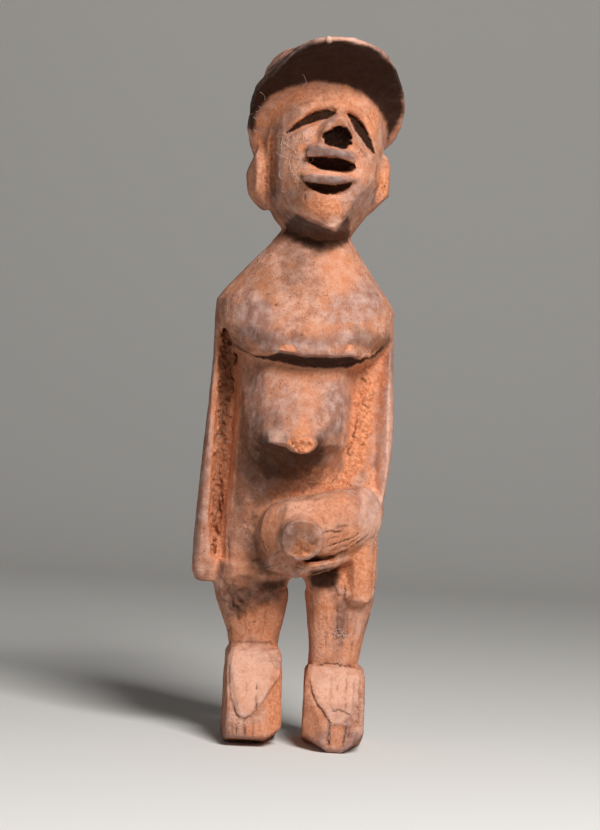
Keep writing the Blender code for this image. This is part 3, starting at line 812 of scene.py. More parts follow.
# Drying cracks, strokes of the blade and edges left standing on the front. Each row is half the width and
# the depth in mm, and then the route, across and up in turn.
LINES = tuple(
    Line(pairs(*row[2:]), cut, *row[:2])
    for cut, rows in {
        Cut.SPLIT: (
            (0.5, 0.9, 18.9, 112, 18.6, 108.5, 18, 105.8, 19.8, 104.9),
            (0.5, 0.6, 17.6, 104, 17, 101.5, 16.4, 100, 18, 99), (0.5, 0.5, 20.2, 103, 21.6, 103.3),
            (0.5, 0.5, 20.2, 117, 23, 115.6), (0.5, 0.5, 19.7, 125.2, 21.5, 124),
            (0.5, 0.5, 20.5, 127.5, 21.8, 126.5), (0.5, 0.5, 15, 94.2, 13.6, 93, 13, 91.5, 11.5, 89.5),
            (0.7, 0.5, -23.9, 124, -22.6, 122.5), (0.6, 0.5, -24.7, 127, -23, 126.3),
            (0.7, 0.5, -26, 117, -23, 117.5), (0.6, 0.5, -24.5, 109.5, -22.5, 110),
            (0.5, 0.5, -24.3, 94, -23.5, 91), (0.45, 0.5, -24, 84, -25.5, 81, -26, 78, -27, 74, -27, 70.5),
            (0.55, 0.6, 10, 73.2, 12, 74, 14.4, 73.6, 16.4, 74.2),
            (0.4, 0.5, 10.6, 68.2, 13, 69, 16, 70.2, 19, 71.6, 22, 73.6), (0.6, 0.5, -11.5, 71, -9, 65),
            (0.7, 0.7, -1.6, 64.4, 5, 63.9, 10, 64.6, 14, 65.6, 18, 67.6, 22, 70.5, 25, 73.4),
            (0.5, 0.5, -9.9, 22, -9.7, 18, -9.6, 14.5, -8.9, 13, -9.2, 12),
            (0.4, 0.5, -15.4, 8.4, -15.7, 3.6), (0.6, 0.5, -13.3, 10, -12.9, 6, -13.4, 2.5),
            (0.4, 0.5, 17.1, 24.5, 17.1, 20.5),
            (0.45, 0.2, -18.8, 26, -18.6, 18.6, -16.3, 11.6, -13.4, 9.9, -11, 11.2, -8, 14.7),
            (0.45, 0.2, 8.4, 21, 9.8, 17.3, 13, 13.1, 14.6, 10.4),
            (0.45, 0.6, 15, 15.2, 16.3, 14, 18.5, 14.5, 20.5, 13.6, 22.6, 12.8),
            (0.6, 0.9, 14.9, 10.6, 15.2, 6.4, 14.8, 4, 15.8, 1.8), (0.4, 0.7, 20.9, 11.5, 20.5, 5, 19.8, 2),
            (0.5, 0.5, 6.5, 29.6, 9, 29.2, 15, 29.9, 19, 29.4, 23.5, 29.2),
            (0.45, 0.5, -14, 151.6, -11, 152.2, -9.5, 151.2), (0.6, 0.5, -10.5, 148.2, -9.6, 148),
            (0.5, 0.5, 5.5, 150, 6.8, 149.9), (0.45, 0.5, -2, 185.5, -2.6, 182.5),
        ),
        Cut.SCORE: (
            (0.45, 0.3, 10.2, 70.8, 12.6, 71.2, 15, 72.2, 18.6, 73.4),
            (0.5, 0.3, 11.6, 66.6, 15, 67.6, 19, 69.8, 22.6, 72.6), (0.5, 0.5, 9, 78.5, 9.8, 76.5),
            (0.5, 0.5, 14, 75, 20, 76), (0.5, 0.5, -1, 84, 4, 84.6, 9, 84.9),
            (0.5, 0.35, 0, 61.4, 5, 60.8, 10, 61.6, 14.5, 63),
            (0.5, 0.35, 2, 62.8, 8, 62.8, 13, 64.2, 18, 66.2), (0.5, 0.3, -6.9, 65, -3.4, 66.6, -1.6, 64.2),
            (0.5, 0.3, 2, 69.4, 2.6, 67.4, 3.6, 66.2), (0.5, 0.35, -17.3, 10, -17.2, 3.5),
            (0.5, 0.4, -9.6, 13, -10.2, 8, -9.8, 3), (0.5, 0.5, 15, 26, 15, 17.5, 15.3, 15),
            (0.45, 0.3, -13.2, 22, -12.9, 17.6), (0.4, 0.25, -15.6, 21, -15.5, 16),
            (0.5, 0.5, 20, 27, 20, 14), (0.5, 0.5, 22.5, 25, 22.7, 16, 22, 13),
            (0.5, 0.5, 22, 12.6, 21.6, 5), (0.6, 0.5, 24.5, 27, 24.8, 20, 24.6, 10),
            (0.7, 0.3, -20.6, 35, -12, 35.6, -3, 35.2), (0.5, 0.5, -2, 138.8, 2.8, 138.5),
            (0.6, 0.2, -7, 214.6, -2, 216.6, 4, 217.2), (0.6, 0.2, 8, 217.8, 14, 215.6, 19, 211.4),
            (0.5, 0.5, 16, 200.8, 18.2, 198.8), (0.5, 0.5, 15.2, 201.6, 16.4, 200.2),
            (0.8, 0.35, -15.2, 200, -15.4, 190, -14.6, 181), (0.8, 0.35, 21.3, 199, 21.8, 190, 20.4, 182),
            (0.5, 0.25, 27, 50.8, 27, 72), (0.6, 0.3, -24.6, 75, -24.2, 63, -24.6, 56.4),
            (0.5, 0.25, -20.5, 44, -19, 36.4), (0.4, 0.2, -15, 46, -14.4, 38),
            (0.5, 0.25, -8, 47, -8.4, 38), (0.5, 0.25, 12, 48, 12.6, 33), (0.5, 0.25, 22.4, 46, 21, 31),
            (0.6, 0.25, -22, 72, -21, 60), (0.5, 0.5, 15.5, 50, 15.8, 40), (0.5, 0.5, 19, 50, 19.5, 38),
        ),
        Cut.RIDGE: (
            (0.45, 0.6, -28.2, 112, -25.6, 114.4, -23.2, 115.2),
            (0.4, 0.6, -28.4, 104, -26.2, 108, -23, 109.2), (0.4, 0.6, -28.6, 97, -26.4, 101.6, -23.4, 104),
            (0.4, 0.5, -28.6, 120, -26, 121.4, -23, 121), (0.7, 0.25, -4, 80, -3.5, 77.4, -4.4, 72),
            (
                0.55, 0.22, 9.7, 70.3, 9, 73.4, 7, 75.7, 4.2, 76.8, 1.2, 76.7, -1.6, 75.4, -3.6, 73,
                -4.3, 70, -3.6, 67.2, -1.6, 65.2,
            ),
            (0.8, 0.2, -10, 203, -4, 206, 0, 208.4), (0.9, 0.25, -20, 128, -20.6, 100, -21.4, 76),
            (1, 0.3, -9.5, 180.6, -5, 179.8, 0, 178, 5, 176, 8.5, 175.2, 10.2, 177.6, 12.6, 181),
            (0.9, 0.3, -16, 103.4, -9, 102.6, -4.6, 102.2),
        ),
    }.items()
    for row in rows
)

# What lies on the front where the eye can see it, and painted shade and highlights. Each row is the middle,
# half the width and half the height in mm, the amount, and the turn in degrees if there is one.
PATCHES = tuple(
    Patch(layer, row[:2], row[2:4], *row[4:])
    for layer, rows in {
        Layer.WORN: (
            (-12.2, 191, 2.2, 10, 0.75), (-8, 189, 3.6, 7, 0.3), (16.5, 186, 4, 5, 0.6, 30),
            (-5.5, 182.5, 4, 4.5, 0.6), (6, 200.2, 8.6, 1.9, 0.9, -4), (5.5, 191, 9.4, 1.4, 0.9),
            (-17, 145, 7, 7, 0.7), (-10, 136, 14, 3.4, 0.7, -14), (9, 137, 14, 4, 0.6, 6),
            (13, 147, 7, 6, 0.5), (22, 152, 4, 8, 0.4, 30), (-14.5, 114, 3.6, 13, 0.6),
            # The last row here and the first on the next line are wear at the navel, partly a painted
            # highlight.
            (-6, 113, 9, 11, 0.4), (12, 116, 4, 12, 0.6), (-8, 104.6, 5.4, 2.4, 1, -8),
            (6, 105.6, 5, 2.2, 0.8, 12), (-30.4, 118, 1.2, 26, 0.6, -4), (-32, 82, 1.4, 26, 0.7),
            (29, 116, 2, 26, 1, -1), (27.4, 92, 3.4, 15, 0.9, -8), (21, 80.5, 5, 5, 0.7),
            (-7.6, 72, 3, 9, 0.25, 8), (-7, 62.6, 3, 3, 0.6, -20), (20, 150, 6, 8, 0.55),
            (2, 126, 12, 4, 0.25), (-2, 176, 9, 2.4, 0.6, -20), (-1, 73.6, 3.4, 3, 0.5),
            (-15, 231, 3.4, 6.5, 0.7, -30),
        ),
        Layer.PALE: (
            # Pale dust, but these rows are painted highlights: the bent arm's edge (29, 104) and (26, 76),
            # the chin's edge (8.4, 176.2), (-2, 179.4) and (8.5, 175.6), the navel (-8, 104.4), and the
            # peak's rim (16, 235) and (8, 238.6), which is partly wear; (5, 193) is pale dust and painted
            # light on the lower lip's top.
            (29, 104, 1.8, 26, 0.75, -2), (26, 76, 3.4, 7, 0.8, -30), (-19, 190, 3, 9, 0.35),
            (-9, 196, 4.6, 8, 0.22), (8.4, 176.2, 2.4, 2.6, 0.9, 50), (-2, 179.4, 5, 1.1, 0.45, -20),
            (-16.5, 150.5, 2.6, 2, 0.5), (20.5, 138.6, 2, 1.4, 0.5, 20), (5, 193, 8, 1, 0.4),
            (10, 37, 4, 8, 0.4), (16, 235, 9, 1.6, 0.7, -28), (23, 44, 2, 8, 0.35, -10),
            (-13, 25, 8, 10, 0.8), (16.5, 22, 8.5, 7.5, 0.9), (2, 81, 6, 4, 0.5), (25, 84, 3.4, 7, 0.5),
            (-8, 104.4, 3.4, 2.4, 1, -14), (8.5, 175.6, 1.5, 1.5, 0.8), (8, 238.6, 16, 1.6, 0.6, -8),
        ),
        Layer.EARTH: (
            (-18.8, 60, 5, 9, 0.35), (-9, 43, 7, 8, 0.7), (-16, 38, 4, 5, 0.5), (11, 42, 4, 14, 0.65),
            (21, 36, 3, 8, 0.5), (-13, 152, 3, 3, 0.3), (10, 161, 6, 8, 0.35, 30), (4, 140, 5, 3, 0.4),
            (2, 106.5, 3.6, 5, 0.55), (-5, 64, 5, 3, 0.3), (3, 117, 4, 6, 0.3), (-8, 76, 3.4, 8, 0.55, 8),
            (-17.4, 191, 3, 10, 0.85), (20.2, 62, 2, 10, 0.8), (-16, 221, 4, 6, 0.4, -40),
            (8, 20, 3, 10, 0.6, 20), (-21.3, 108, 1.6, 26, 0.7), (9, 81, 14, 6, 0.55, 4),
            (16, 71, 9, 5, 0.5, 28), (2.5, 126, 15, 2.4, 0.6), (7, 217.5, 10, 3.6, 0.6),
            (18.6, 210.5, 3, 6, 0.7, -30), (-4, 201, 2, 1.6, 0.8), (5.5, 193.2, 8.5, 0.9, 0.8),
            (4, 181, 7, 4, 0.8), (-19, 190, 2.8, 9, 0.6), (23.8, 190, 2.4, 8, 0.9), (8.6, 207, 2, 6, 0.5),
            (-3.2, 15, 3, 10, 0.8), (-7, 6, 6, 3, 0.6), (9.6, 10, 4, 8, 0.5, -28), (24, 62, 3.6, 12, 0.7),
            (25, 136, 3, 3.4, 0.6),
        ),
        Layer.SOOT_AND_SHADE: (
            # Soot, but these rows are painted shade: under the chin (3, 168), (-5, 161), (-8.5, 178.5) and
            # (15, 179.5), on the belly's sides and flanks (-18, 95), (12, 98), (-13, 106) and (10.6, 105),
            # and under the hip (-17, 55).
            (3, 168, 4, 3, 0.5), (-5, 161, 5, 9, 0.4), (-14, 155, 6, 8, 0.22), (-18, 95, 3, 22, 0.45),
            (12, 98, 3, 8, 0.35), (-10, 109, 5, 4, 0.25), (25, 137.5, 4.4, 3, 0.5, 30),
            (19, 139, 4.4, 3.4, 0.42, 20), (-14, 136.4, 7, 2.6, 0.38, -20),
            (-2, 137.6, 3.4, 1.8, 0.35, -20), (5, 199.8, 9, 1.6, 0.44, -6), (5, 190.8, 9.6, 1.3, 0.5, -2),
            (3, 137, 10, 2.4, 0.2), (-17, 138, 5, 3, 0.3, -30), (-12.6, 186, 1.4, 12, 0.2),
            (-8.5, 178.5, 5, 2, 0.35, -24), (15, 179.5, 3, 4, 0.3, -30), (-3, 70.5, 1.4, 3.6, 0.45),
            (2.6, 75.4, 5, 1.2, 0.4), (1, 84.6, 9, 1.4, 0.3, 4), (-17, 55, 7, 3, 0.45, 4),
            (-13, 106, 4, 5, 0.42, 20), (10.6, 105, 3.4, 5, 0.38, -20), (-22, 134, 5, 3, 0.3, -36),
            (-8, 211.4, 4, 2.4, 0.25, 30), (-22, 59, 3, 3, 0.34), (-10.5, 208, 3, 2, 0.22, 40),
            (14, 205, 2, 4, 0.2, 40), (2, 153, 2, 5, 0.16), (-10.6, 64, 2.4, 4, 0.35, 20),
        ),
    }.items()
    for row in rows
)


@dataclass
class Carving:
    """The figure: a copy of the solid with its knife work cut crisp, then weathered and dressed.

    Sizes are in millimetres.
    """

    node: str = "figure"
    grid: float = 0.4
    triangles: int = 192_000
    smooth_below: float = 50.0

    # How rough the floor of a recess is, how far an overhang's shade takes to deepen and how ragged it is.
    floor: float = 0.5
    fade: float = 1.4
    ragged_fade: float = 0.4

    # How far the lines stray, and the noise at which they break off and are whole again.
    stray: float = 0.34
    breaks: tuple[float, float] = (-0.75, 0.15)

    # How high the facets, the grain, the lumps and the crumbs stand, with more for crumbs where earth lies.
    facet: float = -0.22
    grain: float = 0.05
    lump: float = 0.06
    crumb: float = 0.06
    earth_crumb: float = 0.20

    # Where each covering starts and where it is whole, in mm of relief or as a share walled in.
    proud: tuple[float, float] = (0.16, 0.55)
    sharp: tuple[float, float] = (0.05, 0.15)
    airy: tuple[float, float] = (-0.35, -0.05)
    earthed: tuple[float, float] = (0.26, 0.52)
    # Where soot and painted shade in the hollows start and are whole.
    hollow_soot_and_shade: tuple[float, float] = (0.66, 0.92)

    # How thick each covering gets, with more wear on sharp edges, and how ragged its border is.
    most_worn: float = 0.8
    more_worn: float = 0.2
    most_earth: float = 0.8
    # How thick the soot and painted shade in the hollows get.
    most_soot_and_shade: float = 0.9
    ragged: float = 0.08
    ragged_earth: float = 0.10

    notches: tuple[Notch, ...] = NOTCHES
    bosses: tuple[Boss, ...] = BOSSES
    areas: tuple[Area, ...] = AREAS
    lines: tuple[Line, ...] = LINES
    patches: tuple[Patch, ...] = PATCHES

    def build(self) -> bpy.types.Object:
        """Makes the figure and returns it."""
        obj = self.copied()
        self.cut_crisp(obj)
        modified(obj, "REMESH", mode="VOXEL", voxel_size=self.grid * MM)
        skin = Skin(obj)
        self.engrave(skin)
        self.weather(skin)
        skin.measure()
        self.cover(skin)
        skin.keep_layers()
        modified(obj, "DECIMATE", ratio=self.triangles / (2 * len(obj.data.polygons)))
        alone(obj)
        bpy.ops.object.shade_smooth_by_angle(angle=math.radians(self.smooth_below))
        obj.data.materials.clear()
        obj.data.materials.append(DustyWood().material())
        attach(obj, "root")
        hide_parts(self.node)
        LOG.info("%s: %d triangles", obj.name, len(obj.data.polygons))
        return obj

    def copied(self) -> bpy.types.Object:
        """Copies the solid and merges its loose triangles."""
        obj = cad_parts[self.node].copy()
        obj.data = obj.data.copy()
        obj.parent = None
        obj.name = "carved_figure"
        for key in [key for key in obj.keys() if key.startswith("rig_")]:
            del obj[key]
        bpy.context.scene.collection.objects.link(obj)
        alone(obj)
        bpy.ops.object.mode_set(mode="EDIT")
        bpy.ops.mesh.select_all(action="SELECT")
        bpy.ops.mesh.remove_doubles(threshold=0.001 * MM)
        bpy.ops.object.mode_set(mode="OBJECT")
        return obj

    def cut_crisp(self, obj: bpy.types.Object) -> None:
        """Adds the flat-faced forms and takes out the recesses, which time has rounded in the solid."""
        tree = tree_of(obj)
        for boss in self.bosses:
            depths = [depth_at(tree, place) for place in boss.outline]
            face = min(depths) - boss.proud
            near = [SIGHT.placed(*place, face) for place in boss.outline]
            far = [SIGHT.placed(*place, face + boss.proud + boss.root) for place in boss.outline]
            self.combine(obj, prism(boss.name, near, far), "UNION")
        for notch in self.notches:
            near, far = [], []
            for across, up, sink in notch.rim:
                depth = depth_at(tree, (across, up))
                near.append(SIGHT.placed(across, up, depth - notch.stand_off))
                far.append(SIGHT.placed(across, up, depth + sink))
            self.combine(obj, prism(notch.name, near, far), "DIFFERENCE")

    def combine(self, obj: bpy.types.Object, other: bpy.types.Object, operation: str) -> None:
        """Joins another mesh to the figure, or cuts it away, and removes the other mesh."""
        modified(obj, "BOOLEAN", operation=operation, object=other)
        bpy.data.objects.remove(other, do_unlink=True)

    def engrave(self, skin: Skin) -> None:
        """Raises the plates, breaks the broken places, and cuts the splits and scores into the front."""
        wobble = Rough((0.9, 0.9, 0.9), 31)
        crumbs = Rough((1.7, 1.7, 1.7), 37).fractal(skin.points, 2)
        broken = Rough((1.6, 1.6, 1.6), 33).noise(skin.points)
        shift = np.stack((wobble.noise(skin.points), wobble.noise(skin.points + 40.0)), axis=1)
        amount = np.zeros(len(skin.points))
        # Each recess is darkened inside its rim: soot and painted shade.
        for notch in self.notches:
            hollow = Area(tuple((across, up) for across, up, _ in notch.rim), edge=notch.edge)
            within = hollow.share(skin.places, crumbs) * skin.ahead
            skin.lay(Layer.SOOT_AND_SHADE, notch.dark * within)
            amount += self.floor * notch.dark * within * crumbs
        # Areas raise, sink and cover the wood; several lay painted shade or a painted highlight, and those
        # with a behind lay painted shade only under an overhang.
        for area in self.areas:
            share = area.share(skin.places, crumbs) * skin.front
            if area.behind is not None:
                depth = skin.points[:, 1] + self.ragged_fade * crumbs - area.behind
                share = area.share(skin.places, crumbs) * skin.ahead * smoothstep(depth, 0.0, self.fade)
            amount += share * (area.rise + area.rough * crumbs)
            if area.layer:
                skin.lay(area.layer, area.amount * share)
        for line in self.lines:
            near = np.nonzero(line.near(skin.places) & (skin.front > 0.0))[0]
            share = line.share(skin.places[near] + self.stray * shift[near]) * skin.front[near]
            share *= smoothstep(broken[near], *self.breaks)
            amount[near] += share * (line.depth if line.cut is Cut.RIDGE else -line.depth)
            dark = np.zeros(len(amount))
            dark[near] = share
            layer, thick = LEFT_BY[line.cut]
            skin.lay(layer, thick * dark)
        skin.push(amount)

    def weather(self, skin: Skin) -> None:
        """Leaves the blade's facets, the grain and the crumbs of earth all over."""
        points = skin.points
        near, next_near = Rough((9.0, 9.0, 14.0), 5).cells(points)
        facets = smoothstep(next_near - near, 0.0, 0.5)
        grain = Rough((0.9, 0.9, 14.0), 9).noise(points)
        lumps = Rough((3.5, 3.5, 5.0), 21).fractal(points, 3)
        crumbs = Rough((2.4, 2.4, 2.4), 23).fractal(points, 3)
        crust = self.crumb + self.earth_crumb * skin.layers[Layer.EARTH]
        skin.push(self.facet * facets + self.grain * grain + self.lump * lumps + crust * crumbs)

    def cover(self, skin: Skin) -> None:
        """Lays dust, packed earth, soot with painted shade in the hollows, and wear on the wood, then the
        listed patches, some of them painted shade and highlights.
        """
        edge = skin.relief(times=5)
        broad = skin.relief(times=36)
        walled = skin.shelter(step=8, rays=24, reach=16.0)
        ragged = Rough((2.2, 2.2, 3.0), 41).fractal(skin.points, 3)
        rubbed = smoothstep(broad + self.ragged * ragged, *self.proud) * smoothstep(-walled, *self.airy)
        sharp = smoothstep(edge, *self.sharp)
        skin.lay(Layer.WORN, self.most_worn * rubbed + self.more_worn * sharp * rubbed)
        earthed = smoothstep(walled + self.ragged_earth * ragged, *self.earthed)
        skin.lay(Layer.EARTH, self.most_earth * earthed)
        # Darker the more walled in a point is: soot, and painted shade in the hollows.
        hollow_soot_and_shade = smoothstep(walled + self.ragged * ragged, *self.hollow_soot_and_shade)
        skin.lay(Layer.SOOT_AND_SHADE, self.most_soot_and_shade * hollow_soot_and_shade)
        for patch in self.patches:
            skin.lay(patch.layer, patch.share(skin.places, ragged) * skin.front)


def depth_at(tree: BVHTree, place: Place) -> float:
    """Finds the Y of the wood that the eye meets at a place.

    Args:
        tree: the figure's tree.
        place: where it is seen on the measuring plane.

    Returns:
        The frame's Y in mm.
    """
    eye = Vector(SIGHT.eye)
    hit = tree.ray_cast(eye, (SIGHT.placed(*place, 0.0) - eye).normalized())[0]
    if hit is None:
        raise ValueError(f"no wood is seen at {place}")
    return hit.y


def prism(name: str, near: Sequence[Vector], far: Sequence[Vector]) -> bpy.types.Object:
    """Pulls a closed prism out of a disc.

    Args:
        name: its name.
        near: the corners of its front end in mm.
        far: the corners of its back end in mm.

    Returns:
        The prism, facing outwards.
    """
    count = len(near)
    bpy.ops.object.select_all(action="DESELECT")
    bpy.ops.mesh.primitive_circle_add(vertices=count, fill_type="NGON", radius=1.0)
    obj = bpy.context.object
    obj.name = name
    bpy.ops.object.mode_set(mode="EDIT")
    bpy.ops.mesh.select_all(action="SELECT")
    bpy.ops.mesh.extrude_region_move(TRANSFORM_OT_translate={"value": (0.0, 0.0, 1.0)})
    bpy.ops.object.mode_set(mode="OBJECT")
    for vert, place in zip(obj.data.vertices, [*near, *far]):
        vert.co = place * MM
    bpy.ops.object.mode_set(mode="EDIT")
    bpy.ops.mesh.select_all(action="SELECT")
    bpy.ops.mesh.quads_convert_to_tris()
    bpy.ops.mesh.normals_make_consistent(inside=False)
    bpy.ops.object.mode_set(mode="OBJECT")
    return obj


@dataclass(frozen=True)
class Tuft:
    """Threads of lint caught in one place on the front.

    Attributes:
        centre: where it is seen on the measuring plane.
        spread: half the width and half the height of the place in mm.
        threads: how many there are.
        length: how long each is in mm.
    """

    centre: Place
    spread: Place
    threads: int = 4
    length: float = 5.0


# Where lint is caught: the middle and the half sizes of the place, the number of threads and their length.
TUFTS = tuple(
    Tuft(row[:2], row[2:4], *row[4:])
    for row in (
        (-9.5, 202.5, 3.5, 5, 12, 6.5), (-5, 195.5, 2.6, 3.6, 9, 5), (-10, 188.5, 2.6, 4, 5, 4),
        (-19, 213, 2.4, 7, 6, 4), (-3, 222.5, 1.6, 1, 3, 3.5), (6, 220.5, 4, 1.6, 4, 3.5),
        (-15.6, 164, 1, 1, 8, 3.5), (26.6, 71.5, 0.8, 2.2, 9, 4), (16.8, 40.5, 2.2, 2, 12, 3.6),
        (-3.4, 29, 1.6, 1.2, 4, 3.5), (-5.5, 61.5, 2.4, 1.6, 4, 5), (-2, 33, 2, 1.6, 3, 6),
        (-25.6, 107, 1.6, 5, 4, 6),
    )
)


@dataclass
class Lint:
    """The lint that clings to the figure. Sizes are in millimetres."""

    half_thick: float = 0.05
    lift: float = 0.25
    more_lift: float = 0.35
    gap: float = 2.0
    steps: int = 14
    fewest: int = 3

    # The most that a thread bends the same way at each step, and the most that it bends at random, in
    # radians.
    bend: float = 0.30
    kink: float = 0.35
    tufts: tuple[Tuft, ...] = TUFTS

    def build(self, figure: bpy.types.Object) -> bpy.types.Object:
        """Lays the threads on the finished figure and returns them as one piece."""
        tree = tree_of(figure)
        random = np.random.default_rng(7)
        curve = bpy.data.curves.new("lint", "CURVE")
        curve.dimensions = "3D"
        curve.bevel_depth = self.half_thick * MM
        curve.bevel_resolution = 1
        curve.resolution_u = 3
        for tuft in self.tufts:
            for _ in range(tuft.threads):
                route = self.thread(tree, tuft, random)
                if len(route) < self.fewest:
                    continue
                spline = curve.splines.new("POLY")
                spline.points.add(len(route) - 1)
                for point, place in zip(spline.points, route):
                    point.co = (*(place * MM), 1.0)
        obj = bpy.data.objects.new("lint", curve)
        bpy.context.scene.collection.objects.link(obj)
        alone(obj)
        bpy.ops.object.convert(target="MESH")
        bpy.ops.object.shade_smooth()
        obj = bpy.context.object
        obj.data.materials.append(LintFibre().material())
        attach(obj, "root")
        LOG.info("%s: %d triangles", obj.name, len(obj.data.polygons) * 2)
        return obj

    def thread(self, tree: BVHTree, tuft: Tuft, random: np.random.Generator) -> list[Vector]:
        """Lays one thread from place to place on the wood.

        Args:
            tree: the figure's tree.
            tuft: where the thread is caught.
            random: the source of its bends.

        Returns:
            Its points in mm.
        """
        place = np.array(tuft.centre) + random.uniform(-1.0, 1.0, 2) * tuft.spread
        heading = random.uniform(0.0, 2.0 * math.pi)
        bend = random.uniform(-self.bend, self.bend)
        eye = Vector(SIGHT.eye)
        route = []
        for _ in range(self.steps):
            hit, normal, *_ = tree.ray_cast(eye, (SIGHT.placed(*place, 0.0) - eye).normalized())
            if hit is None or route and abs(hit.y - route[-1].y) > self.gap:
                break
            route.append(hit + normal * (self.lift + random.uniform(0.0, self.more_lift)))
            place = place + np.array((math.cos(heading), math.sin(heading))) * tuft.length / self.steps
            heading += bend + random.uniform(-self.kink, self.kink)
        return route


def linear(code: str) -> tuple[float, float, float, float]:
    """Turns an sRGB hex colour into Blender's linear one."""
    parts = [int(code[start : start + 2], 16) / 255 for start in (1, 3, 5)]
    return (*(part / 12.92 if part <= 0.04045 else ((part + 0.055) / 1.055) ** 2.4 for part in parts), 1.0)


class Surface:
    """A material's node tree while it is being put together."""

    def __init__(self, name: str) -> None:
        """Starts a material with nothing in it but its shader and its output."""
        self.material = bpy.data.materials.new(name)
        self.material.use_nodes = True
        self.tree = self.material.node_tree
        self.shader = self.tree.nodes["Principled BSDF"]

    def add(
        self, kind: str, inputs: Inputs, output: int | str = 0, **settings: object
    ) -> bpy.types.NodeSocket:
        """Adds a node with its settings and links.

        Args:
            kind: the node's type.
            inputs: its inputs by name or number; a socket is linked and a value is set.
            output: which of its outputs is wanted.
            settings: its properties by name.

        Returns:
            The output.
        """
        node = self.tree.nodes.new(kind)
        for name, value in settings.items():
            setattr(node, name, value)
        for key, value in inputs.items():
            self.feed(node.inputs[key], value)
        return node.outputs[output]

    def feed(self, socket: bpy.types.NodeSocket, value: object) -> None:
        """Links a socket to another, or sets its value."""
        if isinstance(value, bpy.types.NodeSocket):
            self.tree.links.new(value, socket)
        else:
            socket.default_value = value

    def shaded(self, inputs: Inputs) -> bpy.types.Material:
        """Feeds the shader.

        Args:
            inputs: its inputs by name.

        Returns:
            The material.
        """
        for name, value in inputs.items():
            self.feed(self.shader.inputs[name], value)
        return self.material


